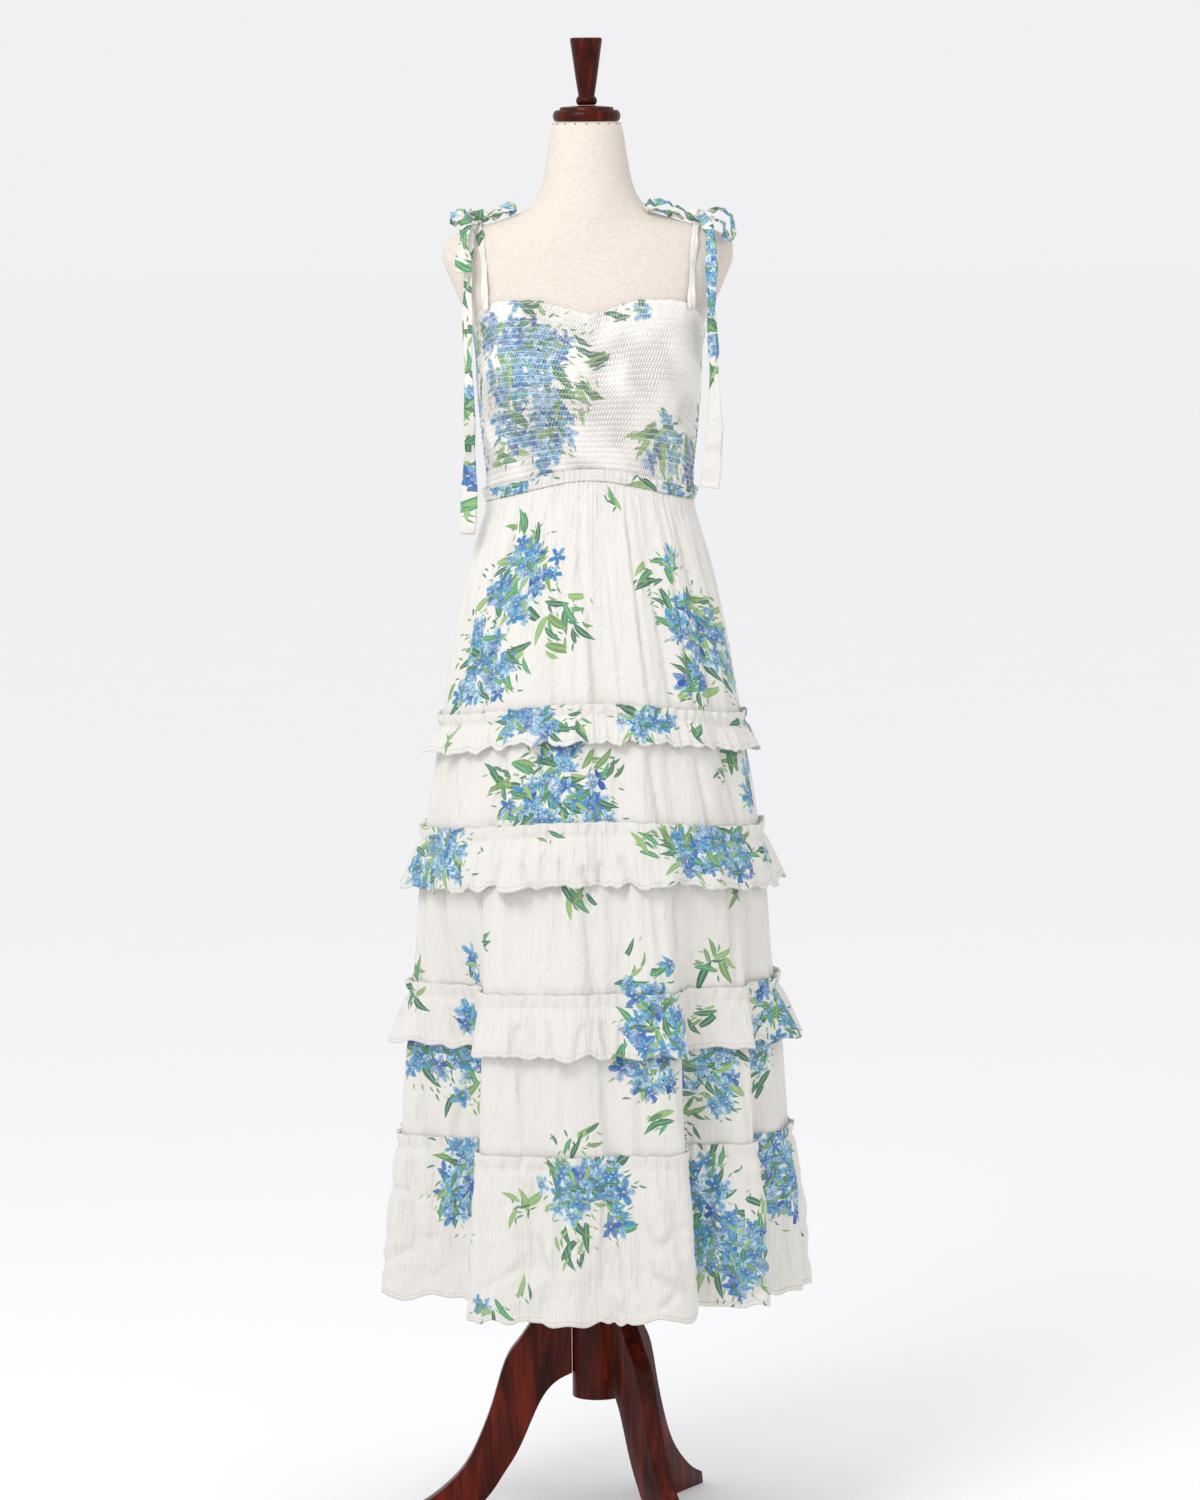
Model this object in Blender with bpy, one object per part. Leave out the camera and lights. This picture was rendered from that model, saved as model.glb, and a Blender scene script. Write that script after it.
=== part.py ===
"""Tiered maxi dress with tie shoulders, worn on a limbless dress form with a turned wooden stand.

Metres, +Z up. The front of the dress faces -Y. Angles round the body are in degrees,
0 at the front, 90 at the side towards +X and 180 at the back. "left" is the -X side.
"""

import math
from typing import Callable, NamedTuple

import bmesh
import bpy
from mathutils import Matrix, Vector

GAP = 0.0003
CLOTH_THICKNESS = 0.0013
FORM_TO_CLOTH = 0.0026
COLUMNS_PER_HALF = 40
WAVES_PER_HALF = 10

# Heights of the stand and the form.
FLOOR_TO_HUB = 0.170
HUB_TOP = 0.335
POLE_TOP = 1.050
FORM_BOTTOM = 1.070
FORM_SEGMENTS = 28
HUB_RADIUS = 0.0335
POLE_RADIUS = 0.0165
BASE_PLATE_SIZE = (0.128, 0.088)
LEG_THICKNESS = 0.025
LEG_EDGE_ROUND = 0.006
LEG_DIRECTIONS = {"leg_left": 180.0, "leg_front": 300.0, "leg_rear": 60.0}

# Smocked bodice.
RIB_COUNT_FRONT = 13
RIB_COUNT_BACK = 11
RIB_HEIGHT = 0.0011
TOP_BAND = 0.022
BODICE_INSIDE_ROWS = 9

# Ties on the shoulders.
TIE_WIDTH = 0.0145
STRAP_WIDTH = 0.0115
TIE_THICKNESS = 0.0011
STRAP_LIFT = 0.0022
STRAP_STEPS = 10

SKIRT_WAVE_COUNT = 14
# A trough this deep halves how far a gathered strip stands off inside it.
FRILL_ROOM_DEPTH = 0.020


class Section(NamedTuple):
    """A level ring round the body: its height, side, front and back reach, and squareness."""

    z: float
    half_width: float
    front: float
    back: float
    power: float


class Fold(NamedTuple):
    """A deep trough that runs down the skirt."""

    angle: float
    start_z: float
    full_z: float
    depth: float
    width_before: float
    width_after: float


class Level(NamedTuple):
    """The height of a seam or an edge at the front, the sides and the back."""

    front: float
    side: float
    back: float


class EdgePoint(NamedTuple):
    """A point of the neckline: angle from the front, and height."""

    angle: float
    z: float


class Tier(NamedTuple):
    """A skirt tier between two seams, with its number of rows."""

    name: str
    top: str
    bottom: str
    rows: int


class Frill(NamedTuple):
    """A row down a gathered strip: height from its stitch line, stand-off and wave depth."""

    drop: float
    stand_off: float
    wave: float


class TiePoint(NamedTuple):
    """A point of a tie's centre line, with the turn of its width about the run."""

    x: float
    y: float
    z: float
    turn: float


class Loop(NamedTuple):
    """A bow's loop: how far out it starts, its turn in plan, its lean, and its (reach, rise) outline."""

    root_x: float
    turn: float
    lean: float
    outline: list


class StrapRun(NamedTuple):
    """Where a strap leaves the bodice, on its way over the form to the knot."""

    foot_x: float
    foot_z: float
    is_front: bool


FORM = [
    Section(1.8450, 0.0405, 0.0405, 0.0405, 2.0),
    Section(1.8420, 0.0440, 0.0440, 0.0440, 2.0),
    Section(1.8340, 0.0465, 0.0465, 0.0465, 2.0),
    Section(1.8220, 0.0488, 0.0490, 0.0490, 2.0),
    Section(1.7960, 0.0527, 0.0535, 0.0535, 2.0),
    Section(1.7700, 0.0576, 0.0590, 0.0590, 2.0),
    Section(1.7520, 0.0640, 0.0640, 0.0640, 2.0),
    Section(1.7320, 0.0810, 0.0690, 0.0720, 1.9),
    Section(1.7190, 0.1130, 0.0715, 0.0770, 1.6),
    Section(1.7070, 0.1560, 0.0735, 0.0800, 1.5),
    Section(1.6980, 0.1780, 0.0750, 0.0820, 1.6),
    Section(1.6860, 0.1880, 0.0770, 0.0835, 1.8),
    Section(1.6700, 0.1880, 0.0800, 0.0850, 2.0),
    Section(1.6480, 0.1805, 0.0860, 0.0880, 2.2),
    Section(1.6200, 0.1685, 0.0950, 0.0910, 2.3),
    Section(1.5750, 0.1475, 0.1080, 0.0940, 2.3),
    Section(1.5400, 0.1430, 0.1140, 0.0930, 2.3),
    Section(1.5000, 0.1415, 0.1150, 0.0890, 2.3),
    Section(1.4600, 0.1380, 0.1090, 0.0840, 2.3),
    Section(1.4200, 0.1340, 0.1010, 0.0790, 2.3),
    Section(1.3900, 0.1310, 0.0970, 0.0770, 2.3),
    Section(1.3550, 0.1310, 0.0970, 0.0800, 2.3),
    Section(1.3000, 0.1390, 0.1030, 0.0940, 2.3),
    Section(1.2400, 0.1490, 0.1090, 0.1080, 2.3),
    Section(1.1800, 0.1560, 0.1130, 0.1170, 2.3),
    Section(1.1200, 0.1590, 0.1120, 0.1170, 2.3),
    Section(1.0760, 0.1580, 0.1100, 0.1150, 2.3),
    Section(1.0700, 0.1520, 0.1040, 0.1090, 2.3),
]

SKIRT = [
    Section(1.3000, 0.1510, 0.1180, 0.1070, 2.2),
    Section(1.2400, 0.1660, 0.1330, 0.1270, 2.2),
    Section(1.1700, 0.1795, 0.1480, 0.1410, 2.1),
    Section(1.0900, 0.1925, 0.1640, 0.1560, 2.1),
    Section(1.0100, 0.2055, 0.1790, 0.1700, 2.1),
    Section(0.9400, 0.2165, 0.1930, 0.1820, 2.1),
    Section(0.8500, 0.2265, 0.2080, 0.1940, 2.1),
    Section(0.7300, 0.2360, 0.2270, 0.2100, 2.1),
    Section(0.6200, 0.2460, 0.2390, 0.2230, 2.1),
    Section(0.5140, 0.2530, 0.2450, 0.2310, 2.1),
    Section(0.4200, 0.2600, 0.2500, 0.2380, 2.1),
    Section(0.3100, 0.2640, 0.2560, 0.2460, 2.1),
]

FOLDS = [
    Fold(angle=-53.0, start_z=0.92, full_z=0.60, depth=0.084, width_before=30.0, width_after=17.0),
    Fold(angle=39.0, start_z=0.92, full_z=0.58, depth=0.060, width_before=14.0, width_after=19.0),
    Fold(angle=66.0, start_z=0.90, full_z=0.55, depth=0.042, width_before=11.0, width_after=18.0),
    Fold(angle=3.0, start_z=1.25, full_z=0.60, depth=0.010, width_before=13.0, width_after=16.0),
    Fold(angle=116.0, start_z=0.95, full_z=0.58, depth=0.048, width_before=15.0, width_after=20.0),
    Fold(angle=149.0, start_z=0.90, full_z=0.55, depth=0.066, width_before=21.0, width_after=14.0),
    Fold(angle=184.0, start_z=0.97, full_z=0.60, depth=0.040, width_before=15.0, width_after=17.0),
    Fold(angle=212.0, start_z=0.92, full_z=0.57, depth=0.062, width_before=14.0, width_after=22.0),
    Fold(angle=246.0, start_z=0.94, full_z=0.60, depth=0.050, width_before=17.0, width_after=18.0),
]

NECKLINE = [
    EdgePoint(0.0, 1.6000),
    EdgePoint(16.0, 1.6080),
    EdgePoint(38.0, 1.6180),
    EdgePoint(54.0, 1.6170),
    EdgePoint(63.0, 1.6090),
    EdgePoint(76.0, 1.5870),
    EdgePoint(90.0, 1.5730),
    EdgePoint(115.0, 1.5660),
    EdgePoint(180.0, 1.5620),
]

SEAMS = {
    "waist": Level(front=1.3880, side=1.3580, back=1.3640),
    "ruffle_1": Level(front=1.0900, side=1.0650, back=1.0700),
    "ruffle_2": Level(front=0.9390, side=0.9170, back=0.9210),
    "ruffle_3": Level(front=0.7210, side=0.7150, back=0.7160),
    "flounce": Level(front=0.5140, side=0.5140, back=0.5120),
}

TIERS = [
    Tier(name="tier_1", top="waist", bottom="ruffle_1", rows=3),
    Tier(name="tier_2", top="ruffle_1", bottom="ruffle_2", rows=1),
    Tier(name="tier_3", top="ruffle_2", bottom="ruffle_3", rows=3),
    Tier(name="tier_4", top="ruffle_3", bottom="flounce", rows=2),
]

FRILLS = {
    "waist": [
        Frill(drop=-0.0130, stand_off=0.0016, wave=0.0030),
        Frill(drop=0.0015, stand_off=0.0002, wave=0.0004),
    ],
    "ruffle_1": [
        Frill(drop=-0.0150, stand_off=0.0010, wave=0.0040),
        Frill(drop=0.0000, stand_off=0.0000, wave=0.0006),
        Frill(drop=0.0340, stand_off=0.0060, wave=0.0090),
    ],
    "ruffle_2": [
        Frill(drop=-0.0170, stand_off=0.0010, wave=0.0040),
        Frill(drop=0.0000, stand_off=0.0000, wave=0.0006),
        Frill(drop=0.0320, stand_off=0.0060, wave=0.0080),
        Frill(drop=0.0640, stand_off=0.0080, wave=0.0150),
    ],
    "ruffle_3": [
        Frill(drop=-0.0170, stand_off=0.0010, wave=0.0040),
        Frill(drop=0.0000, stand_off=0.0000, wave=0.0006),
        Frill(drop=0.0320, stand_off=0.0060, wave=0.0090),
        Frill(drop=0.0630, stand_off=0.0090, wave=0.0160),
    ],
    "flounce": [
        Frill(drop=-0.0170, stand_off=0.0010, wave=0.0040),
        Frill(drop=0.0000, stand_off=0.0000, wave=0.0006),
        Frill(drop=0.0600, stand_off=0.0050, wave=0.0050),
        Frill(drop=0.1300, stand_off=0.0070, wave=0.0060),
        Frill(drop=0.1970, stand_off=0.0080, wave=0.0075),
    ],
}

# Turned profiles: radius and height, from the bottom up.
FLANGE_PROFILE = [(0.0400, 1.8453), (0.0430, 1.8490), (0.0437, 1.8540), (0.0410, 1.8595),
                  (0.0345, 1.8635), (0.0330, 1.8640), (0.0200, 1.8655), (0.0104, 1.8660)]
FINIAL_PROFILE = [(0.0102, 1.8663), (0.0128, 1.8685), (0.0137, 1.8720), (0.0128, 1.8755),
                  (0.0108, 1.8785), (0.0120, 1.8830), (0.0165, 1.9180), (0.0208, 1.9490),
                  (0.0200, 1.9520), (0.0120, 1.9532)]
HUB_PROFILE = [(0.0320, FLOOR_TO_HUB), (HUB_RADIUS, FLOOR_TO_HUB + 0.0015), (HUB_RADIUS, 0.3130),
               (0.0290, 0.3200), (0.0230, 0.3240), (0.0220, HUB_TOP)]
POLE_PROFILE = [(POLE_RADIUS, HUB_TOP + GAP), (POLE_RADIUS, POLE_TOP)]

# A leg's side view: distance from the stand's axis and height.
LEG_UPPER_EDGE = [(0.0339, 0.3060), (0.0600, 0.2960), (0.0830, 0.2750), (0.1010, 0.2500),
                  (0.1225, 0.2180), (0.1455, 0.1450), (0.1770, 0.0780), (0.2225, 0.0345),
                  (0.2590, 0.0160)]
LEG_LOWER_EDGE = [(0.1890, 0.0000), (0.1500, 0.0330), (0.1240, 0.0700), (0.1035, 0.1040),
                  (0.0768, 0.1640), (0.0570, 0.1900), (0.0339, 0.2030)]
LEG_FOOT_TIP = (0.2620, 0.0000)

# Ties: x is the distance out from the middle, on either shoulder.
KNOT_CENTRE = (0.1400, 0.0000, 1.7241)
STRAP_END = 0.0035
KNOT_SIZE = (0.0130, 0.0110, 0.0095)
STRAP_FRONT = StrapRun(foot_x=0.1290, foot_z=1.6040, is_front=True)
STRAP_BACK = StrapRun(foot_x=0.0950, foot_z=1.5580, is_front=False)
LOOPS = {
    "loop_inner_left": Loop(root_x=0.1269, turn=168.0, lean=-34.0, outline=[
        (0.0000, 0.0035), (0.0110, 0.0110), (0.0230, 0.0170), (0.0330, 0.0165), (0.0370, 0.0110),
        (0.0330, 0.0060), (0.0210, 0.0040), (0.0100, 0.0000), (0.0000, -0.0035),
    ]),
    "loop_inner_right": Loop(root_x=0.1256, turn=151.0, lean=-34.0, outline=[
        (0.0000, 0.0035), (0.0140, 0.0120), (0.0310, 0.0190), (0.0480, 0.0210), (0.0590, 0.0180),
        (0.0610, 0.0120), (0.0540, 0.0080), (0.0360, 0.0070), (0.0160, 0.0010), (0.0000, -0.0035),
    ]),
    "loop_outer_left": Loop(root_x=0.1527, turn=8.0, lean=34.0, outline=[
        (0.0000, 0.0035), (0.0090, 0.0080), (0.0190, 0.0060), (0.0250, -0.0010), (0.0240, -0.0085),
        (0.0170, -0.0115), (0.0080, -0.0080), (0.0000, -0.0035),
    ]),
    "loop_outer_right": Loop(root_x=0.1557, turn=40.0, lean=-12.0, outline=[
        (0.0000, 0.0035), (0.0120, 0.0075), (0.0250, 0.0060), (0.0370, -0.0020), (0.0440, -0.0140),
        (0.0450, -0.0270), (0.0400, -0.0330), (0.0340, -0.0280), (0.0320, -0.0180), (0.0240, -0.0080),
        (0.0120, -0.0060), (0.0000, -0.0035),
    ]),
}
TIES = {
    "tail_long_left": [
        TiePoint(0.1480, -0.0093, 1.7200, 90.0),
        TiePoint(0.1500, -0.0400, 1.7120, 90.0),
        TiePoint(0.1530, -0.0560, 1.6950, 92.0),
        TiePoint(0.1545, -0.0640, 1.6500, 84.0),
        TiePoint(0.1560, -0.0650, 1.5800, 60.0),
        TiePoint(0.1550, -0.0650, 1.5100, 84.0),
        TiePoint(0.1540, -0.0650, 1.4300, 112.0),
        TiePoint(0.1560, -0.0650, 1.3720, 78.0),
        TiePoint(0.1580, -0.0650, 1.3160, 92.0),
    ],
    "tail_short_left": [
        TiePoint(0.1480, -0.0096, 1.7285, 90.0),
        TiePoint(0.1530, -0.0440, 1.7250, 86.0),
        TiePoint(0.1580, -0.0660, 1.7060, 84.0),
        TiePoint(0.1600, -0.0740, 1.6800, 92.0),
        TiePoint(0.1590, -0.0760, 1.6540, 96.0),
    ],
    "tail_long_right": [
        TiePoint(0.1470, -0.0095, 1.7230, 90.0),
        TiePoint(0.1530, -0.0420, 1.7140, 92.0),
        TiePoint(0.1580, -0.0570, 1.6950, 96.0),
        TiePoint(0.1590, -0.0650, 1.6500, 84.0),
        TiePoint(0.1580, -0.0660, 1.5950, 56.0),
        TiePoint(0.1610, -0.0660, 1.5400, 88.0),
        TiePoint(0.1620, -0.0660, 1.4600, 94.0),
        TiePoint(0.1600, -0.0660, 1.4200, 84.0),
        TiePoint(0.1540, -0.0670, 1.3740, 98.0),
    ],
    "tail_short_right": [
        TiePoint(0.1400, 0.0113, 1.7265, 90.0),
        TiePoint(0.1420, 0.0300, 1.7230, 90.0),
        TiePoint(0.1440, 0.0570, 1.7070, 88.0),
        TiePoint(0.1450, 0.0720, 1.6780, 92.0),
        TiePoint(0.1450, 0.0780, 1.6400, 96.0),
        TiePoint(0.1450, 0.0790, 1.5900, 88.0),
    ],
}


def clear_scene() -> None:
    """Remove every object, so that the script can run twice."""
    for obj in list(bpy.data.objects):
        bpy.data.objects.remove(obj, do_unlink=True)


def make_material(name: str, colour: tuple, roughness: float, metallic: float = 0.0) -> bpy.types.Material:
    """A plain finish with one linear colour."""
    material = bpy.data.materials.new(name)
    material.use_nodes = True
    shader = material.node_tree.nodes["Principled BSDF"]
    shader.inputs["Base Color"].default_value = (*colour, 1.0)
    shader.inputs["Roughness"].default_value = roughness
    shader.inputs["Metallic"].default_value = metallic
    return material


def add_object(name: str, bm: bmesh.types.BMesh, material: bpy.types.Material,
               root: bpy.types.Object, smooth_angle: float = 40.0) -> bpy.types.Object:
    """Turn a bmesh into a named object under the root, with its faces pointing out."""
    bmesh.ops.recalc_face_normals(bm, faces=bm.faces[:])
    if bm.calc_volume(signed=True) < 0.0:
        bmesh.ops.reverse_faces(bm, faces=bm.faces[:])
    mesh = bpy.data.meshes.new(name)
    bm.to_mesh(mesh)
    bm.free()
    mesh.shade_smooth()
    mesh.set_sharp_from_angle(angle=math.radians(smooth_angle))
    mesh.materials.append(material)
    obj = bpy.data.objects.new(name, mesh)
    bpy.context.scene.collection.objects.link(obj)
    obj.parent = root
    return obj


def smooth_step(value: float) -> float:
    """Ease from 0 to 1."""
    clamped = min(max(value, 0.0), 1.0)
    return clamped * clamped * (3.0 - 2.0 * clamped)


def steady_curve(knots: list, value: float) -> float:
    """Read a smooth curve through (position, value) knots, with no overshoot between them."""
    if value <= knots[0][0]:
        return knots[0][1]
    if value >= knots[-1][0]:
        return knots[-1][1]
    index = next(i for i in range(len(knots) - 1) if value <= knots[i + 1][0])
    slopes = [(b[1] - a[1]) / (b[0] - a[0]) for a, b in zip(knots, knots[1:])]

    def slope_at(knot: int) -> float:
        if knot == 0 or knot == len(knots) - 1:
            return slopes[min(knot, len(slopes) - 1)]
        before, after = slopes[knot - 1], slopes[knot]
        return 0.0 if before * after <= 0.0 else 2.0 * before * after / (before + after)

    start, end = knots[index], knots[index + 1]
    span = end[0] - start[0]
    part = (value - start[0]) / span
    rise = (2 * part**3 - 3 * part**2 + 1) * start[1] + (3 * part**2 - 2 * part**3) * end[1]
    lean = (part**3 - 2 * part**2 + part) * slope_at(index) + (part**3 - part**2) * slope_at(index + 1)
    return rise + lean * span


def section_at(table: list, z: float) -> Section:
    """The level ring of a table at any height."""
    rising = sorted(table, key=lambda row: row.z)
    values = [steady_curve([(row.z, row[field]) for row in rising], z) for field in range(1, 5)]
    return Section(z, *values)


def ring_radius(section: Section, angle: float) -> float:
    """Distance from the axis to a level ring, as a rounded rectangle of the given squareness."""
    turn = math.radians(angle)
    depth = section.front if math.cos(turn) > 0.0 else section.back
    across = abs(math.sin(turn)) / section.half_width
    along = abs(math.cos(turn)) / depth
    return (across**section.power + along**section.power) ** (-1.0 / section.power)


def bust_swell(angle: float, z: float) -> float:
    """The form's two soft rounds at the chest."""
    rise = math.exp(-(((z - 1.515) / 0.055) ** 2))
    return 0.007 * rise * sum(math.exp(-(((angle - side) / 22.0) ** 2)) for side in (-36.0, 36.0))


def wrap_angle(angle: float) -> float:
    """The same direction between -180 and 180 degrees."""
    return (angle + 180.0) % 360.0 - 180.0


def form_radius(angle: float, z: float) -> float:
    """The form's surface."""
    return ring_radius(section_at(FORM, z), angle) + bust_swell(wrap_angle(angle), z)


def level_height(level: Level, angle: float) -> float:
    """A seam's height at an angle."""
    facing = math.cos(math.radians(angle))
    end = level.front if facing > 0.0 else level.back
    return level.side + (end - level.side) * facing * facing


def fold_depth(angle: float, z: float) -> float:
    """How far the long troughs pull the skirt in."""
    depth = 0.0
    for fold in FOLDS:
        away = wrap_angle(angle - fold.angle)
        width = fold.width_after if away > 0.0 else fold.width_before
        if abs(away) < width:
            grown = smooth_step((fold.start_z - z) / (fold.start_z - fold.full_z))
            depth += fold.depth * grown * math.cos(0.5 * math.pi * away / width) ** 2
    return depth


def waist_height(angle: float) -> float:
    """The waist seam's height."""
    return level_height(SEAMS["waist"], angle)


def cloth_radius(angle: float, z: float) -> float:
    """The outer face of the bodice above the waist and of the skirt below it."""
    cloth_off_form = FORM_TO_CLOTH + CLOTH_THICKNESS
    fitted = form_radius(angle, z) + cloth_off_form
    waist_z = waist_height(angle)
    if z >= waist_z:
        return fitted
    top = ring_radius(section_at(FORM, waist_z), angle) + cloth_off_form
    skirt = section_at(SKIRT, min(z, SKIRT[0].z))
    hanging = ring_radius(skirt, angle)
    if z > SKIRT[0].z:
        part = (waist_z - z) / (waist_z - SKIRT[0].z)
        hanging = top + (hanging - top) * part**1.25
    below = waist_z - z
    wave = min(0.0010 + 0.0045 * below, 0.0048) * smooth_step(below / 0.03)
    ripple = wave * math.cos(math.radians(angle) * SKIRT_WAVE_COUNT + 1.1)
    return hanging + ripple - fold_depth(angle, z)


def cloth_point(angle: float, z: float) -> Vector:
    """A point on the outer face of the cloth."""
    radius = cloth_radius(angle, z)
    turn = math.radians(angle)
    return Vector((radius * math.sin(turn), -radius * math.cos(turn), z))


def cloth_normal(angle: float, z: float) -> Vector:
    """The level direction straight out of the cloth."""
    step = 1.5
    along = cloth_point(angle + step, z) - cloth_point(angle - step, z)
    return Vector((-along.y, along.x, 0.0)).normalized() * -1.0


def offset_point(angle: float, z: float, distance: float) -> Vector:
    """A point moved straight out of the cloth's outer face."""
    return cloth_point(angle, z) + cloth_normal(angle, z) * distance


def tier_edges(tier: Tier, angle: float) -> tuple:
    """The heights of a tier's lower and upper seams."""
    return level_height(SEAMS[tier.bottom], angle), level_height(SEAMS[tier.top], angle)


def panel_point(angle: float, z: float, distance: float) -> Vector:
    """A point moved straight out of the flat facet that a tier has at this height."""
    for tier in TIERS:
        low, high = tier_edges(tier, angle)
        if low <= z < high:
            step = (high - low) / tier.rows
            below = low + step * math.floor((z - low) / step)
            part = (z - below) / step
            return (offset_point(angle, below, distance) * (1.0 - part)
                    + offset_point(angle, below + step, distance) * part)
    return offset_point(angle, z, distance)


def half_angle(u: float, is_front: bool) -> float:
    """The angle of a column across the front or the back half."""
    return -90.0 + 180.0 * u if is_front else 90.0 + 180.0 * u


def seam_shift(is_front: bool) -> Vector:
    """Half of the gap left at the side seams."""
    return Vector((0.0, -0.5 * GAP if is_front else 0.5 * GAP, 0.0))


def double_wall(columns: int, rows: int, inner: Callable, outer: Callable) -> bmesh.types.BMesh:
    """A closed wall whose two faces are functions of u across and v up, both from 0 to 1."""
    bm = bmesh.new()
    bmesh.ops.create_grid(bm, x_segments=columns, y_segments=rows, size=0.5)
    inner_verts = bm.verts[:]
    grown = bmesh.ops.extrude_face_region(bm, geom=bm.faces[:], use_keep_orig=True)
    outer_verts = [item for item in grown["geom"] if isinstance(item, bmesh.types.BMVert)]
    for verts, place in ((inner_verts, inner), (outer_verts, outer)):
        for vert in verts:
            vert.co = place(vert.co.x + 0.5, vert.co.y + 0.5)
    return bm


def build_tier(tier: Tier, half: str, is_front: bool, material: bpy.types.Material,
               root: bpy.types.Object) -> None:
    """One half of a skirt tier between two seams."""

    def place(distance: float) -> Callable:
        def point(u: float, v: float) -> Vector:
            angle = half_angle(u, is_front)
            low, high = tier_edges(tier, angle)
            clear = GAP * (0.5 - v)
            return (offset_point(angle, low + (high - low) * v, distance)
                    + Vector((0.0, 0.0, clear)) + seam_shift(is_front))
        return point

    bm = double_wall(COLUMNS_PER_HALF, tier.rows, place(-CLOTH_THICKNESS), place(0.0))
    add_object(f"{tier.name}_{half}", bm, material, root)


def end_flare(angle: float) -> float:
    """Gathered strips stand out further at the sides."""
    side = abs(wrap_angle(angle))
    return 0.75 + 0.55 * math.exp(-(((side - 92.0) / 26.0) ** 2))


def build_frill(name: str, seam: Level, strip: list, is_front: bool,
                material: bpy.types.Material, root: bpy.types.Object) -> None:
    """One half of a gathered strip, stitched along a seam and waved above and below it."""

    def place(distance: float) -> Callable:
        def point(u: float, v: float) -> Vector:
            angle = half_angle(u, is_front)
            row = strip[len(strip) - 1 - round(v * (len(strip) - 1))]
            wave = 0.5 - 0.5 * math.cos(2.0 * math.pi * WAVES_PER_HALF * u)
            z = level_height(seam, angle) - row.drop
            room = 1.0 / (1.0 + fold_depth(angle, z) / FRILL_ROOM_DEPTH)
            stand = GAP + (row.stand_off + row.wave * wave) * end_flare(angle) * room
            return panel_point(angle, z, stand + distance) + seam_shift(is_front)
        return point

    bm = double_wall(COLUMNS_PER_HALF, len(strip) - 1, place(0.0), place(CLOTH_THICKNESS))
    add_object(name, bm, material, root)


def neckline_height(angle: float) -> float:
    """The bodice's upper edge."""
    return steady_curve([(row.angle, row.z) for row in NECKLINE], abs(wrap_angle(angle)))


def build_bodice(name: str, is_front: bool, material: bpy.types.Material, root: bpy.types.Object) -> None:
    """One half of the bodice: gathered ribs raised on its outside, plain inside."""
    ribs = RIB_COUNT_FRONT if is_front else RIB_COUNT_BACK
    columns = COLUMNS_PER_HALF // 2
    outer_rows = 2 * ribs + 1

    def height(angle: float, v: float) -> float:
        low = waist_height(angle) + 0.5 * GAP
        return low + (neckline_height(angle) - low) * v

    def outer(u: float, v: float) -> Vector:
        angle = half_angle(u, is_front)
        row = round(v * outer_rows)
        span = neckline_height(angle) - waist_height(angle)
        share = row / (2 * ribs) * (1.0 - TOP_BAND / span) if row < outer_rows else 1.0
        raised = RIB_HEIGHT if row % 2 == 1 and 1 < row < outer_rows else 0.0
        return offset_point(angle, height(angle, share), raised) + seam_shift(is_front)

    def inner(u: float, v: float) -> Vector:
        angle = half_angle(u, is_front)
        return offset_point(angle, height(angle, v), -CLOTH_THICKNESS) + seam_shift(is_front)

    bm = bmesh.new()
    ends = {0: [], 1: []}
    for rows, place in ((outer_rows, outer), (BODICE_INSIDE_ROWS, inner)):
        made = bmesh.ops.create_grid(bm, x_segments=columns, y_segments=rows, size=0.5)
        for edge in {edge for vert in made["verts"] for edge in vert.link_edges}:
            level = {round(vert.co.y + 0.5, 4) for vert in edge.verts}
            if level in ({0.0}, {1.0}):
                ends[int(level.pop())].append(edge)
        for vert in made["verts"]:
            vert.co = place(vert.co.x + 0.5, vert.co.y + 0.5)
    for edges in ends.values():
        bmesh.ops.bridge_loops(bm, edges=edges)
    bmesh.ops.holes_fill(bm, edges=[edge for edge in bm.edges if edge.is_boundary], sides=0)
    add_object(name, bm, material, root)


def closed_loft(segments: int, rings: int, place: Callable) -> bmesh.types.BMesh:
    """A closed body whose skin is a function of the angle round and v from bottom to top."""
    bm = bmesh.new()
    bmesh.ops.create_grid(bm, x_segments=segments, y_segments=rings, size=0.5)
    for vert in bm.verts:
        vert.co = place(360.0 * (vert.co.x + 0.5), vert.co.y + 0.5)
    bmesh.ops.remove_doubles(bm, verts=bm.verts[:], dist=0.00001)
    bmesh.ops.holes_fill(bm, edges=[edge for edge in bm.edges if edge.is_boundary], sides=0)
    return bm


def build_form(material: bpy.types.Material, root: bpy.types.Object) -> None:
    """The padded form: neck, shoulders with no arms, chest, waist and hips."""
    heights = sorted(row.z for row in FORM)

    def place(angle: float, v: float) -> Vector:
        z = heights[round(v * (len(heights) - 1))]
        radius = form_radius(angle, z)
        turn = math.radians(angle)
        return Vector((radius * math.sin(turn), -radius * math.cos(turn), z))

    add_object("form_torso", closed_loft(FORM_SEGMENTS, len(heights) - 1, place), material, root)


def build_turned(name: str, profile: list, segments: int, material: bpy.types.Material,
                 root: bpy.types.Object) -> None:
    """A turned piece: its profile spun about the stand's axis, closed at both ends."""
    bm = bmesh.new()
    verts = [bm.verts.new((radius, 0.0, z)) for radius, z in profile]
    edges = [bm.edges.new(pair) for pair in zip(verts, verts[1:])]
    bmesh.ops.spin(bm, geom=verts + edges, cent=(0, 0, 0), axis=(0, 0, 1), angle=2.0 * math.pi,
                   steps=segments, use_merge=True)
    bmesh.ops.remove_doubles(bm, verts=bm.verts[:], dist=0.00001)
    bmesh.ops.holes_fill(bm, edges=[edge for edge in bm.edges if edge.is_boundary], sides=0)
    add_object(name, bm, material, root)


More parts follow.
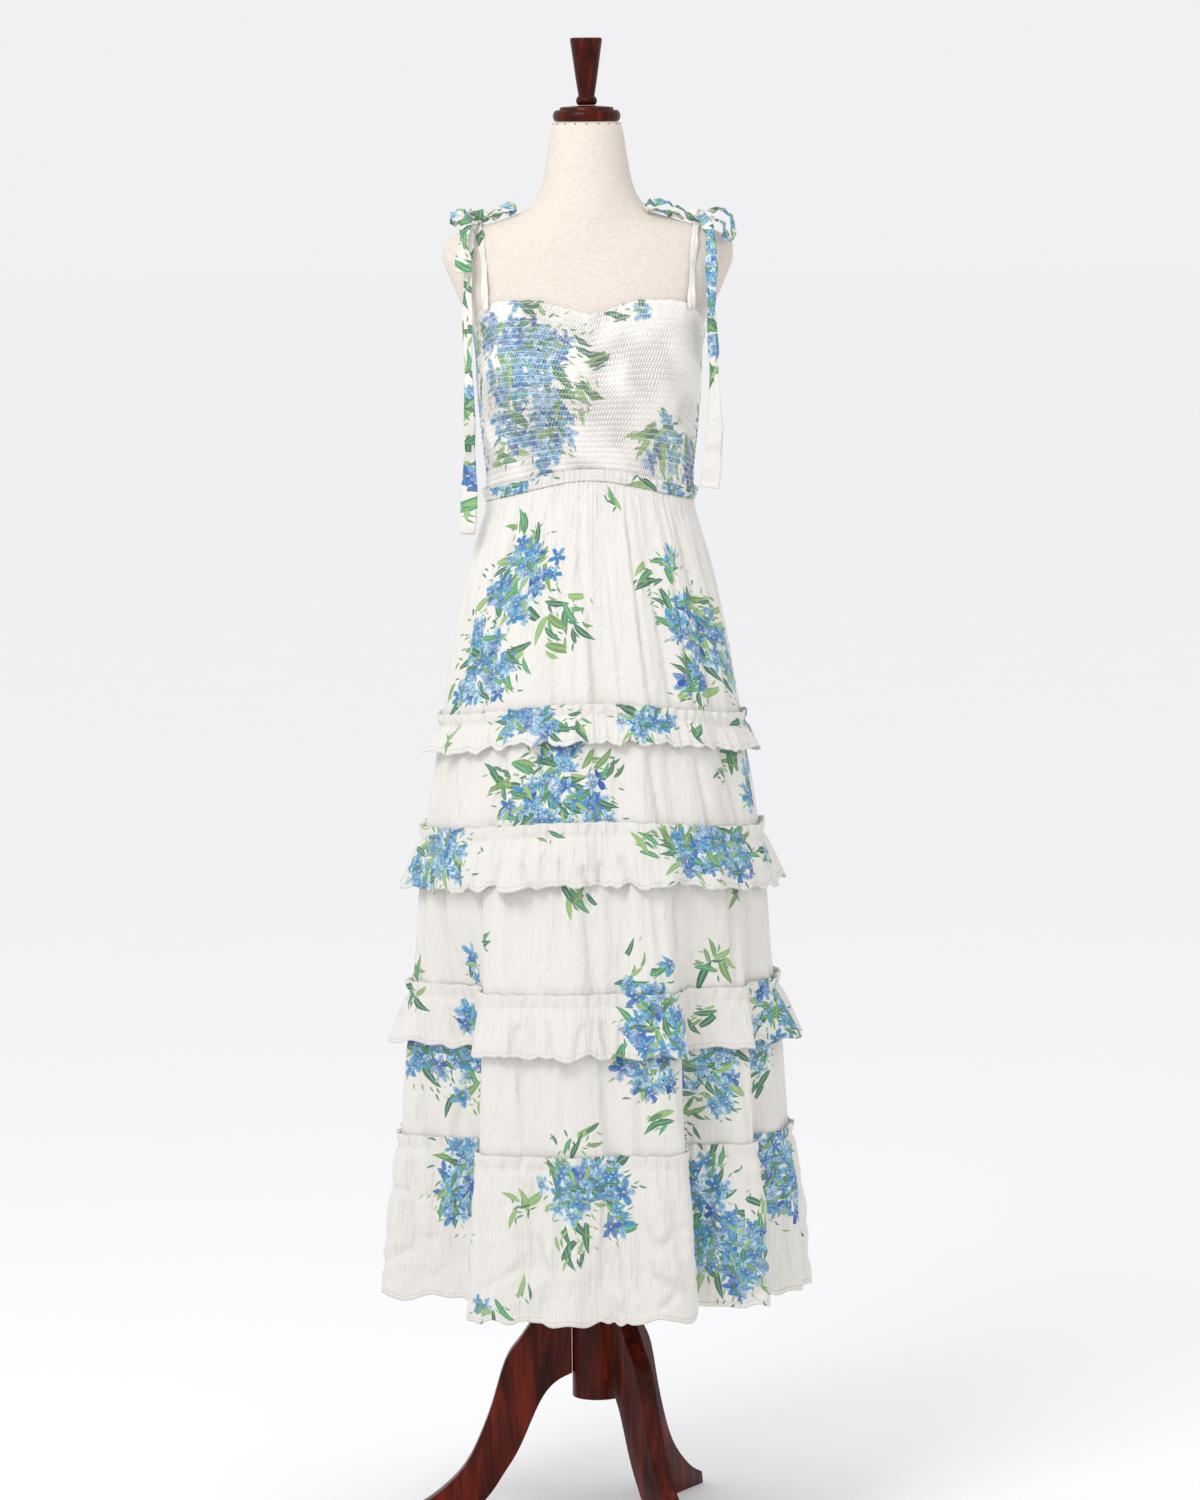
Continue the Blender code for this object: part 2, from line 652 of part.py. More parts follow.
def build_base_plate(material: bpy.types.Material, root: bpy.types.Object) -> None:
    """The wooden plate that the form stands on."""
    bm = bmesh.new()
    low = POLE_TOP + GAP
    high = FORM_BOTTOM - GAP
    bmesh.ops.create_cone(bm, cap_ends=True, segments=32, radius1=1.0, radius2=1.0, depth=high - low)
    bmesh.ops.scale(bm, vec=(*BASE_PLATE_SIZE, 1.0), verts=bm.verts[:])
    bmesh.ops.translate(bm, vec=(0.0, 0.0, 0.5 * (low + high)), verts=bm.verts[:])
    add_object("base_plate", bm, material, root)


def spline_points(knots: list, per_span: int) -> list:
    """Points on a smooth curve through the knots, which may have any number of values each."""
    ends = [knots[0]] + list(knots) + [knots[-1]]
    points = []
    for p0, p1, p2, p3 in zip(ends, ends[1:], ends[2:], ends[3:]):
        for step in range(per_span):
            t = step / per_span
            points.append([0.5 * (2 * b + (c - a) * t + (2 * a - 5 * b + 4 * c - d) * t * t
                                  + (3 * b - a - 3 * c + d) * t**3)
                           for a, b, c, d in zip(p0, p1, p2, p3)])
    points.append(list(knots[-1]))
    return points


def build_leg(name: str, direction: float, material: bpy.types.Material, root: bpy.types.Object) -> None:
    """A curved leg sawn from a board, its long edges rounded, its foot flat on the floor."""
    outline = LEG_UPPER_EDGE + [LEG_FOOT_TIP] + LEG_LOWER_EDGE
    bm = bmesh.new()
    verts = [bm.verts.new((reach, -0.5 * LEG_THICKNESS, z)) for reach, z in outline]
    side = bm.faces.new(verts)
    grown = bmesh.ops.extrude_face_region(bm, geom=[side], use_keep_orig=True)
    far = [item for item in grown["geom"] if isinstance(item, bmesh.types.BMVert)]
    bmesh.ops.translate(bm, vec=(0.0, LEG_THICKNESS, 0.0), verts=far)
    bmesh.ops.recalc_face_normals(bm, faces=bm.faces[:])
    foot = max(LEG_LOWER_EDGE[0][0], LEG_FOOT_TIP[0])
    long_edges = [edge for edge in bm.edges
                  if abs(edge.verts[0].co.y - edge.verts[1].co.y) < 1e-6
                  and max(vert.co.z for vert in edge.verts) > 1e-4
                  and min(vert.co.x for vert in edge.verts) > LEG_UPPER_EDGE[0][0] + 1e-4
                  and max(vert.co.x for vert in edge.verts) < foot]
    bmesh.ops.bevel(bm, geom=long_edges, offset=LEG_EDGE_ROUND, offset_type="OFFSET", segments=2,
                    profile=0.5, affect="EDGES", clamp_overlap=True, material=-1)
    leg = add_object(name, bm, material, root)
    leg.rotation_euler = (0.0, 0.0, math.radians(direction))


def ribbon(places: list, turns: list, level: Vector) -> bmesh.types.BMesh:
    """A flat tie along its places: its width points along level, turned about the run in degrees."""
    last = len(places) - 1

    def point(u: float, v: float, side: float) -> Vector:
        index = round(v * last)
        run = (places[min(index + 1, last)] - places[max(index - 1, 0)]).normalized()
        start = (level - run * run.dot(level)).normalized()
        across = Matrix.Rotation(math.radians(turns[index]), 3, run) @ start
        return places[index] + across * TIE_WIDTH * (u - 0.5) + run.cross(across) * side

    return double_wall(1, last, lambda u, v: point(u, v, -0.5 * TIE_THICKNESS),
                       lambda u, v: point(u, v, 0.5 * TIE_THICKNESS))


def build_loop(name: str, loop: Loop, material: bpy.types.Material, root: bpy.types.Object) -> None:
    """One loop of a bow, flat in its own leaning plane."""
    sign = -1.0 if name.endswith("left") else 1.0
    turn = math.radians(loop.turn)
    lean = math.radians(loop.lean)
    away = Vector((math.cos(turn), -math.sin(turn), 0.0))
    level = Vector((math.sin(turn) * math.cos(lean), math.cos(turn) * math.cos(lean), math.sin(lean)))
    rising = away.cross(level)
    start = Vector((loop.root_x, KNOT_CENTRE[1], KNOT_CENTRE[2]))
    places = [start + away * reach + rising * rise for reach, rise in spline_points(loop.outline, 2)]
    places = [Vector((sign * place.x, place.y, place.z)) for place in places]
    add_object(name, ribbon(places, [0.0] * len(places), Vector((sign * level.x, level.y, level.z))),
               material, root)


def build_tail(name: str, knots: list, material: bpy.types.Material, root: bpy.types.Object) -> None:
    """One hanging end of a bow."""
    sign = -1.0 if name.endswith("left") else 1.0
    points = spline_points(knots, 2)
    places = [Vector((sign * point[0], point[1], point[2])) for point in points]
    turns = [sign * point[3] for point in points]
    add_object(name, ribbon(places, turns, Vector((0.0, 1.0, 0.0))), material, root)


def shoulder_height(x: float) -> float:
    """The height of the form's shoulder line at a distance to the side."""
    rising = sorted((row.half_width, row.z) for row in FORM if 1.68 < row.z < 1.76)
    return steady_curve(rising, x)


def form_point(x: float, z: float, is_front: bool) -> Vector:
    """The point of the form's surface ahead of or behind a place x to the side."""
    section = section_at(FORM, z)
    reach = min(abs(x) / section.half_width, 1.0)
    depth = -section.front if is_front else section.back
    return Vector((x, depth * (1.0 - reach**section.power) ** (1.0 / section.power), z))


def form_normal(x: float, z: float, is_front: bool) -> Vector:
    """The direction straight out of the form's surface."""
    step = 0.002
    across = form_point(x - step, z, is_front) - form_point(x - 2 * step, z, is_front)
    upward = form_point(x - step, z, is_front) - form_point(x - step, z - step, is_front)
    outward = across.cross(upward).normalized()
    return outward if (outward.y < 0.0) == is_front else -outward


def build_strap(name: str, run: StrapRun, mirror: bool, material: bpy.types.Material,
                root: bpy.types.Object) -> None:
    """A tie from the bodice's top band up over the form, to end under the knot."""
    top_x = KNOT_CENTRE[0]
    ridge = shoulder_height(top_x)
    cloth_lift = FORM_TO_CLOTH + CLOTH_THICKNESS + GAP + TIE_THICKNESS
    sign = -1.0 if mirror else 1.0
    rows = []
    for index in range(STRAP_STEPS + 1):
        part = index / STRAP_STEPS
        x = run.foot_x + (top_x - run.foot_x) * part
        z = run.foot_z + (ridge - 0.0010 - run.foot_z) * (1.0 - (1.0 - part) ** 1.4)
        outward = form_normal(x, z, run.is_front)
        lift = STRAP_LIFT + (cloth_lift - STRAP_LIFT) * smooth_step(1.6 - 4.0 * part)
        rows.append((form_point(x, z, run.is_front) + outward * lift, outward))
    slope = (shoulder_height(top_x + 0.005) - shoulder_height(top_x - 0.005)) / 0.010
    outward = Vector((-slope, 0.0, 1.0)).normalized()
    end = Vector((top_x, -STRAP_END if run.is_front else STRAP_END, ridge)) + outward * STRAP_LIFT
    rows.append((end, outward))
    last = len(rows) - 1

    def point(u: float, v: float, side: float) -> Vector:
        index = round(v * last)
        place, outward = rows[index]
        along = rows[min(index + 1, last)][0] - rows[max(index - 1, 0)][0]
        across = outward.cross(along).normalized()
        spot = place + across * STRAP_WIDTH * (u - 0.5) + outward * side
        return Vector((sign * spot.x, spot.y, spot.z))

    bm = double_wall(1, last, lambda u, v: point(u, v, -0.5 * TIE_THICKNESS),
                     lambda u, v: point(u, v, 0.5 * TIE_THICKNESS))
    add_object(name, bm, material, root)


def build_knot(name: str, mirror: bool, material: bpy.types.Material, root: bpy.types.Object) -> None:
    """The knot of a shoulder bow."""
    bm = bmesh.new()
    bmesh.ops.create_icosphere(bm, subdivisions=2, radius=1.0)
    bmesh.ops.scale(bm, vec=KNOT_SIZE, verts=bm.verts[:])
    sign = -1.0 if mirror else 1.0
    bmesh.ops.translate(bm, vec=(sign * KNOT_CENTRE[0], KNOT_CENTRE[1], KNOT_CENTRE[2]), verts=bm.verts[:])
    add_object(name, bm, material, root)


def build_ties(material: bpy.types.Material, root: bpy.types.Object) -> None:
    """Straps, knots, loops and tails on both shoulders."""
    for side, mirror in (("left", True), ("right", False)):
        build_strap(f"strap_front_{side}", STRAP_FRONT, mirror, material, root)
        build_strap(f"strap_back_{side}", STRAP_BACK, mirror, material, root)
        build_knot(f"knot_{side}", mirror, material, root)
    for name, loop in LOOPS.items():
        build_loop(name, loop, material, root)
    for name, knots in TIES.items():
        build_tail(name, knots, material, root)


def build_dress(cloth: bpy.types.Material, root: bpy.types.Object) -> None:
    """The bodice, the four tiers with their ruffles, and the flounce, in front and back halves."""
    for half, is_front in (("front", True), ("back", False)):
        build_bodice(f"bodice_{half}", is_front, cloth, root)
        for tier in TIERS:
            build_tier(tier, half, is_front, cloth, root)
        for name, strip in FRILLS.items():
            piece = "waist_heading" if name == "waist" else name
            build_frill(f"{piece}_{half}", SEAMS[name], strip, is_front, cloth, root)


def centre_on_origin(root: bpy.types.Object) -> None:
    """Stand the whole on the ground plane with the middle of its outline on the origin."""
    bpy.context.view_layer.update()
    corners = [child.matrix_world @ vert.co for child in root.children for vert in child.data.vertices]
    middle = [0.5 * (min(c[axis] for c in corners) + max(c[axis] for c in corners)) for axis in (0, 1)]
    root.location = (-middle[0], -middle[1], -min(c.z for c in corners))
    bpy.context.view_layer.update()


def main() -> None:
    """Build every piece."""
    clear_scene()
    root = bpy.data.objects.new("root", None)
    bpy.context.scene.collection.objects.link(root)
    cloth = make_material("printed cotton", (0.83, 0.84, 0.82), 0.85)
    linen = make_material("linen form cover", (0.80, 0.74, 0.66), 0.90)
    wood = make_material("lacquered mahogany", (0.16, 0.035, 0.015), 0.22)
    build_dress(cloth, root)
    build_ties(cloth, root)
    build_form(linen, root)
    build_turned("neck_flange", FLANGE_PROFILE, 22, wood, root)
    build_turned("finial", FINIAL_PROFILE, 16, wood, root)
    build_turned("hub", HUB_PROFILE, 22, wood, root)
    build_turned("pole", POLE_PROFILE, 16, wood, root)
    build_base_plate(wood, root)
    for name, direction in LEG_DIRECTIONS.items():
        build_leg(name, direction, wood, root)
    centre_on_origin(root)


main()
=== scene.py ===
"""Tiered maxi dress with tie shoulders on a limbless dress form with a wooden stand.

Metres, +Z up, the front of the dress faces -Y. Angles round the body are in degrees: 0 at the
front, 90 at the side towards +X, 180 at the back.
"""

import logging
import math
from dataclasses import dataclass, field
from enum import Enum
from functools import partial
from typing import Any, Callable, ClassVar, NamedTuple, Sequence

import bmesh
import bpy
import numpy as np
from mathutils import Matrix, Vector, noise


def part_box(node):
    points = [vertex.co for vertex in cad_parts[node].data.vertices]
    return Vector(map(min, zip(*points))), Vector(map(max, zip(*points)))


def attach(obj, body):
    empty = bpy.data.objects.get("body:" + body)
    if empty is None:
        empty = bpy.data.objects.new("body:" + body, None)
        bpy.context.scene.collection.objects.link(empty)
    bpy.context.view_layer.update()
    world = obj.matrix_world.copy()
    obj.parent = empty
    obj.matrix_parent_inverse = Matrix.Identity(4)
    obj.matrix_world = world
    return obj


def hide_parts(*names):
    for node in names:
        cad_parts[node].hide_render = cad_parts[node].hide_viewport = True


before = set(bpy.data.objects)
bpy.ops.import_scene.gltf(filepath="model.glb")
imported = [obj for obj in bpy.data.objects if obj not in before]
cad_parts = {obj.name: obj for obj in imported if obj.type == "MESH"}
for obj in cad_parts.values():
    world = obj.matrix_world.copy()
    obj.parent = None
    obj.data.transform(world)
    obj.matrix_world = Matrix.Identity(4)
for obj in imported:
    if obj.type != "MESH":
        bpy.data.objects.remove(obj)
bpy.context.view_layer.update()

LOG = logging.getLogger("dress")
BODY = "root"
POLE_LOW, POLE_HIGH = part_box("pole")
AXIS = np.array([0.5 * (POLE_LOW[0] + POLE_HIGH[0]), 0.5 * (POLE_LOW[1] + POLE_HIGH[1]), 0.0])


class Section(NamedTuple):
    """A level ring round the body: height, side, front and back reach, and squareness."""

    z: float
    half_width: float
    front: float
    back: float
    power: float


class Fold(NamedTuple):
    """A deep trough that runs down the skirt."""

    angle: float
    start_z: float
    full_z: float
    depth: float
    width_before: float
    width_after: float


class Level(NamedTuple):
    """The height of a seam at the front, the sides and the back."""

    front: float
    side: float
    back: float


class Frill(NamedTuple):
    """A row down a gathered strip: height from its stitch line, stand-off and wave depth."""

    drop: float
    stand_off: float
    wave: float


class Crease(NamedTuple):
    """A soft groove in a panel: angle and height at its two ends, depth and half-width in metres."""

    angle: float
    z: float
    end_angle: float
    end_z: float
    depth: float
    width: float


class Bouquet(NamedTuple):
    """A printed bouquet: (x, z, reach) of its flower heads and of its leaf sprays, seen from the front."""

    flowers: tuple
    leaves: tuple


class Spot(NamedTuple):
    """A bouquet in the flat cloth's own metres: (s, t, reach) of its flower heads and leaf sprays."""

    flowers: tuple
    leaves: tuple


class Hold(Enum):
    """How a sheet of cloth is held."""

    GATHERED = "gathered"
    HUNG = "hung"


# In metres: the gap between cloths, a sheet's thickness, the form to a cloth's inside, a cloth solid's wall.
GAP = 0.0003
SHELL = 0.0009
FORM_TO_CLOTH = 0.0026
CLOTH_ROOM = 0.0013
# About the skirt's radius in metres, which turns a crease's angles into distances.
SKIRT_ARM = 0.2
# The radius in metres at which the rumples' noise is read, near the skirt's own.
NOISE_ARM = 0.21
# A strip that ends nearer its stitch line than this, in metres, is a heading alone.
HEADING_ONLY = 0.01
# More metres than lie between any two places on the dress.
FAR = 9.0
# The back's bouquets are the front's: moved aside, drawn in as a whole and each, and stepped up or down.
KIN_SHIFT, KIN_SPREAD, KIN_SCALE, KIN_RISE = 0.016, 0.76, 0.90, 0.010

FORM = (
    Section(1.8450, 0.0405, 0.0405, 0.0405, 2.0), Section(1.8420, 0.0440, 0.0440, 0.0440, 2.0),
    Section(1.8340, 0.0465, 0.0465, 0.0465, 2.0), Section(1.8220, 0.0488, 0.0490, 0.0490, 2.0),
    Section(1.7960, 0.0527, 0.0535, 0.0535, 2.0), Section(1.7700, 0.0576, 0.0590, 0.0590, 2.0),
    Section(1.7520, 0.0640, 0.0640, 0.0640, 2.0), Section(1.7320, 0.0810, 0.0690, 0.0720, 1.9),
    Section(1.7190, 0.1130, 0.0715, 0.0770, 1.6), Section(1.7070, 0.1560, 0.0735, 0.0800, 1.5),
    Section(1.6980, 0.1780, 0.0750, 0.0820, 1.6), Section(1.6860, 0.1880, 0.0770, 0.0835, 1.8),
    Section(1.6700, 0.1880, 0.0800, 0.0850, 2.0), Section(1.6480, 0.1805, 0.0860, 0.0880, 2.2),
    Section(1.6200, 0.1685, 0.0950, 0.0910, 2.3), Section(1.5750, 0.1475, 0.1080, 0.0940, 2.3),
    Section(1.5400, 0.1430, 0.1140, 0.0930, 2.3), Section(1.5000, 0.1415, 0.1150, 0.0890, 2.3),
    Section(1.4600, 0.1380, 0.1090, 0.0840, 2.3), Section(1.4200, 0.1340, 0.1010, 0.0790, 2.3),
    Section(1.3900, 0.1310, 0.0970, 0.0770, 2.3), Section(1.3550, 0.1310, 0.0970, 0.0800, 2.3),
    Section(1.3000, 0.1390, 0.1030, 0.0940, 2.3), Section(1.2400, 0.1490, 0.1090, 0.1080, 2.3),
    Section(1.1800, 0.1560, 0.1130, 0.1170, 2.3), Section(1.1200, 0.1590, 0.1120, 0.1170, 2.3),
    Section(1.0760, 0.1580, 0.1100, 0.1150, 2.3), Section(1.0700, 0.1520, 0.1040, 0.1090, 2.3),
)
SKIRT = (
    Section(1.3000, 0.1510, 0.1180, 0.1070, 2.2), Section(1.2400, 0.1660, 0.1330, 0.1270, 2.2),
    Section(1.1700, 0.1795, 0.1480, 0.1410, 2.1), Section(1.0900, 0.1925, 0.1640, 0.1560, 2.1),
    Section(1.0100, 0.2055, 0.1790, 0.1700, 2.1), Section(0.9400, 0.2165, 0.1930, 0.1820, 2.1),
    Section(0.8500, 0.2265, 0.2080, 0.1940, 2.1), Section(0.7300, 0.2360, 0.2270, 0.2100, 2.1),
    Section(0.6200, 0.2460, 0.2390, 0.2230, 2.1), Section(0.5140, 0.2530, 0.2450, 0.2310, 2.1),
    Section(0.4200, 0.2600, 0.2500, 0.2380, 2.1), Section(0.3100, 0.2640, 0.2560, 0.2460, 2.1),
)
FOLDS = (
    Fold(-53.0, 0.92, 0.60, 0.084, 30.0, 17.0), Fold(39.0, 0.92, 0.58, 0.060, 14.0, 19.0),
    Fold(66.0, 0.90, 0.55, 0.042, 11.0, 18.0), Fold(3.0, 1.25, 0.60, 0.010, 13.0, 16.0),
    Fold(116.0, 0.95, 0.58, 0.048, 15.0, 20.0), Fold(149.0, 0.90, 0.55, 0.066, 21.0, 14.0),
    Fold(184.0, 0.97, 0.60, 0.040, 15.0, 17.0), Fold(212.0, 0.92, 0.57, 0.062, 14.0, 22.0),
    Fold(246.0, 0.94, 0.60, 0.050, 17.0, 18.0),
)
NECKLINE = ((0.0, 1.6000), (16.0, 1.6080), (38.0, 1.6180), (54.0, 1.6170), (63.0, 1.6090), (76.0, 1.5870),
            (90.0, 1.5730), (115.0, 1.5660), (180.0, 1.5620))
WAIST = Level(1.3880, 1.3580, 1.3640)
RUFFLE_1 = Level(1.0900, 1.0650, 1.0700)
RUFFLE_2 = Level(0.9390, 0.9170, 0.9210)
RUFFLE_3 = Level(0.7210, 0.7150, 0.7160)
FLOUNCE = Level(0.5140, 0.5140, 0.5120)


def in_metres(values: Sequence, per_metre: float = 1000.0) -> tuple:
    """Turn millimetres or another unit into metres, in nested rows too."""
    return tuple(value / per_metre if isinstance(value, int) else in_metres(value, per_metre)
                 for value in values)


# Every panel's bouquets: (flower heads, leaf sprays), each blob an x, z and reach in millimetres.
BOUQUETS = {name: tuple(Bouquet(*map(in_metres, pair)) for pair in pairs) for name, pairs in {
    "bodice": (
        (((-118, 1573, 18), (-62, 1557, 30), (-97, 1516, 27)), ((-14, 1494, 20), (4, 1540, 10))),
        (((-50, 1476, 23), (-52, 1429, 20), (-103, 1453, 18)), ((-115, 1419, 13),)),
        (((101, 1456, 10), (106, 1419, 22), (134, 1406, 19)), ((70, 1438, 15),)),
        (((66, 1609, 8),), ((38, 1608, 10),)), (((-86, 1615, 5),), ((-68, 1609, 10),)),
    ),
    "waist_heading": (
        (((-110, 1376, 15), (-83, 1387, 13)), ()), (((110, 1375, 13), (135, 1366, 11)), ((65, 1389, 9),)),
        ((), ((-50, 1399, 8),)),
    ),
    "tier_1": (
        (((-81, 1286, 23), (-108, 1243, 28), (-64, 1264, 20)), ((-31, 1207, 25), (-90, 1325, 13))),
        (((-144, 1171, 27), (-127, 1135, 22), (-169, 1112, 15)), ((-96, 1153, 13),)),
        (((111, 1215, 19), (141, 1188, 29), (176, 1144, 27)), ((91, 1224, 18),)),
        (((131, 1122, 18),), ((122, 1151, 10),)), (((103, 1275, 11), (89, 1285, 6)), ((72, 1257, 15),)),
        ((), ((32, 1363, 10),)),
    ),
    "ruffle_1": (
        (((-96, 1089, 18), (-62, 1087, 19)), ((-23, 1082, 15),)),
        (((62, 1078, 17), (90, 1080, 15)), ((81, 1101, 9),)), ((), ((-188, 1052, 11),)),
        (((208, 1075, 15),), ((189, 1069, 8),)), ((), ((131, 1066, 10),)),
    ),
    "tier_2": (
        (((-58, 992, 28), (-90, 978, 22), (-6, 974, 22)), ((-122, 1010, 18), (10, 1021, 18))),
        (((-40, 1038, 18),), ((-76, 1034, 18),)),
        (((202, 985, 18), (202, 1017, 13)), ((175, 1035, 15), (167, 1005, 10))),
    ),
    "ruffle_2": (
        (((-190, 914, 30), (-214, 889, 27)), ((-225, 882, 10),)),
        (((124, 914, 25), (155, 916, 27), (188, 906, 25)), ((82, 928, 17),)), ((), ((-55, 936, 11),)),
        (((225, 891, 13),), ((203, 907, 11),)),
    ),
    "tier_3": (
        ((), ((-21, 863, 17),)), (((51, 749, 10), (91, 760, 10), (78, 737, 15)), ((59, 790, 10),)),
        ((), ((156, 769, 17),)), (((-153, 761, 11),), ((-141, 796, 11),)), ((), ((-230, 741, 15),)),
        ((), ((182, 859, 10),)),
    ),
    "ruffle_3": (
        (((79, 702, 27), (106, 687, 22)), ((138, 697, 15),)), (((233, 700, 27), (257, 678, 23)), ()),
        (((-165, 688, 11),), ()), ((), ((-235, 712, 13),)), ((), ((35, 664, 10),)),
    ),
    "tier_4": (
        (((-221, 650, 27), (-179, 646, 29)), ((-211, 593, 10),)), (((-179, 584, 11),), ((-143, 575, 13),)),
        (((69, 636, 21), (137, 634, 32), (158, 602, 18)), ((170, 644, 15),)),
        ((), ((114, 576, 23), (76, 573, 13))), (((218, 633, 15),), ((209, 598, 10),)),
        ((), ((-41, 544, 14), (-14, 553, 13))),
    ),
    "flounce": (
        (((-33, 488, 24), (10, 498, 23), (28, 448, 13)), ((-25, 421, 18), (-56, 530, 15))),
        ((), ((-92, 467, 14),)), (((-166, 496, 25), (-171, 455, 24), (-160, 409, 17)), ((-194, 469, 13),)),
        (((138, 468, 27), (150, 412, 33), (186, 372, 28)), ((154, 511, 17),)),
        (((216, 405, 30), (235, 502, 26), (239, 455, 24)), ((198, 394, 14),)),
        (((257, 492, 21), (262, 448, 18)), ((263, 392, 13),)), (((-146, 330, 10),), ((-125, 330, 9),)),
        ((), ((-90, 350, 10),)), ((), ((-264, 410, 8),)),
    ),
}.items()}

NO_BLOB = (0.0, 0.0, 0.0)

# Every panel's creases: its ends' angles and heights in millimetres, then its depth and half-width in tenths.
CREASES = {name: tuple(Crease(a, z / 1000.0, b, low / 1000.0, *in_metres(size, 10000.0))
                       for a, z, b, low, *size in rows) for name, rows in {
    "tier_1": (
        (-6, 1300, 6, 1080, 34, 80), (-37, 1345, -34, 1150, 30, 50), (-29, 1330, -25, 1200, 26, 45),
        (-11, 1360, -13, 1230, 20, 40), (9, 1330, 14, 1110, 28, 50), (24, 1355, 27, 1090, 38, 55),
        (33, 1300, 38, 1070, 32, 50), (-48, 1330, -50, 1070, 40, 50), (-56, 1290, -60, 1075, 36, 42),
        (-67, 1310, -66, 1080, 40, 46), (-76, 1300, -79, 1100, 34, 44), (46, 1260, 49, 1070, 30, 42),
        (57, 1330, 60, 1080, 40, 46), (68, 1310, 70, 1080, 42, 44), (78, 1320, 81, 1090, 36, 50),
        (0, 1190, 2, 1075, 22, 38), (-19, 1170, -16, 1070, 26, 40),
    ),
    "tier_2": (
        (-38, 1050, -41, 925, 42, 52), (24, 1055, 27, 930, 44, 48), (45, 1040, 47, 920, 50, 55),
        (-22, 1060, -18, 970, 26, 44), (-3, 1060, -6, 930, 30, 50), (10, 1030, 8, 925, 28, 40),
        (-54, 1050, -58, 920, 40, 48), (-70, 1040, -68, 920, 42, 46), (60, 1050, 64, 930, 40, 44),
        (75, 1050, 73, 920, 40, 50),
    ),
    "tier_3": (
        (-31, 910, -27, 730, 42, 60), (-14, 920, -12, 760, 30, 46), (-3, 880, 1, 715, 34, 55),
        (12, 915, 10, 725, 38, 48), (21, 870, 24, 715, 36, 44), (30, 900, 31, 780, 30, 40),
        (-45, 900, -42, 720, 40, 50), (-64, 900, -68, 730, 44, 48), (-78, 890, -80, 720, 40, 56),
        (52, 900, 54, 730, 44, 48), (80, 890, 84, 730, 42, 50), (64, 860, 67, 720, 36, 42),
    ),
    "tier_4": (
        (-24, 690, -21, 530, 40, 55), (-9, 690, -11, 540, 34, 48), (2, 670, 5, 520, 36, 52),
        (16, 690, 13, 520, 42, 50), (25, 680, 28, 560, 34, 44), (-60, 680, -66, 530, 44, 48),
        (-75, 690, -73, 520, 40, 50), (53, 680, 55, 530, 42, 46), (79, 680, 82, 520, 44, 52),
    ),
    "flounce": (
        (-20, 500, -17, 380, 40, 70), (-8, 505, -12, 330, 44, 60), (4, 490, 1, 340, 36, 64),
        (12, 505, 16, 310, 48, 66), (22, 480, 26, 330, 44, 60), (-14, 430, 6, 400, 22, 90),
        (-62, 500, -66, 330, 46, 60), (-76, 490, -72, 320, 44, 64), (-88, 500, -92, 340, 42, 60),
        (53, 490, 56, 330, 42, 56), (74, 500, 78, 340, 46, 62), (86, 470, 90, 320, 40, 60),
        (9, 452, 21, 400, 52, 56), (26, 442, 13, 398, 46, 50), (12, 384, 28, 352, 56, 60),
        (27, 376, 17, 330, 44, 46), (-19, 430, -13, 372, 56, 52), (-13, 372, -16, 322, 58, 56),
        (-22, 392, -34, 352, 36, 56), (5, 430, 8, 330, -50, 52), (40, 372, 60, 350, 58, 56),
        (61, 388, 45, 338, 50, 50), (50, 430, 60, 392, 42, 50), (58, 350, 48, 322, 56, 52),
        (-92, 470, -68, 448, 34, 60), (-70, 400, -84, 352, 40, 58), (-60, 380, -70, 345, 40, 50),
    ),
    "ruffle_2": (
        (-33, 908, -36, 860, 50, 40), (-26, 905, -20, 858, 54, 44), (-12, 910, -10, 862, 46, 40),
        (-4, 900, -1, 860, 60, 38), (3, 905, 2, 862, 46, 34), (11, 912, 15, 860, 50, 44),
        (20, 905, 24, 862, 40, 40), (72, 905, 80, 862, 60, 50),
    ),
    "ruffle_3": (
        (-24, 700, -26, 655, 50, 40), (-15, 705, -12, 655, 52, 44), (-4, 702, -6, 655, 44, 38),
        (2, 705, 4, 655, 54, 36), (9, 700, 8, 655, 46, 36), (26, 702, 30, 657, 44, 40),
        (-68, 702, -64, 657, 50, 44),
    ),
}.items()}


def steady(knots: Sequence[tuple], value: np.ndarray) -> np.ndarray:
    """Read a smooth curve through knots, with no overshoot between them.

    Args:
        knots: Rising (position, value) pairs.
        value: Where to read the curve.

    Returns:
        The curve's values.
    """
    at, level = np.array(knots, dtype=float).T
    value = np.clip(value, at[0], at[-1])
    slopes = np.diff(level) / np.diff(at)
    lean = np.concatenate(([slopes[0]], np.zeros(len(at) - 2), [slopes[-1]]))
    product = slopes[:-1] * slopes[1:]
    total = slopes[:-1] + slopes[1:]
    lean[1:-1] = np.where(product > 0.0, 2.0 * product / np.where(total == 0.0, 1.0, total), 0.0)
    index = np.clip(np.searchsorted(at, value, side="right") - 1, 0, len(at) - 2)
    span = at[index + 1] - at[index]
    part = (value - at[index]) / span
    rise = (2 * part**3 - 3 * part**2 + 1) * level[index] + (3 * part**2 - 2 * part**3) * level[index + 1]
    bend = (part**3 - 2 * part**2 + part) * lean[index] + (part**3 - part**2) * lean[index + 1]
    return rise + bend * span


def ease(value: np.ndarray) -> np.ndarray:
    """Ease from 0 to 1."""
    clamped = np.clip(value, 0.0, 1.0)
    return clamped * clamped * (3.0 - 2.0 * clamped)


def wrap(angle: np.ndarray) -> np.ndarray:
    """The same direction between -180 and 180 degrees."""
    return (angle + 180.0) % 360.0 - 180.0


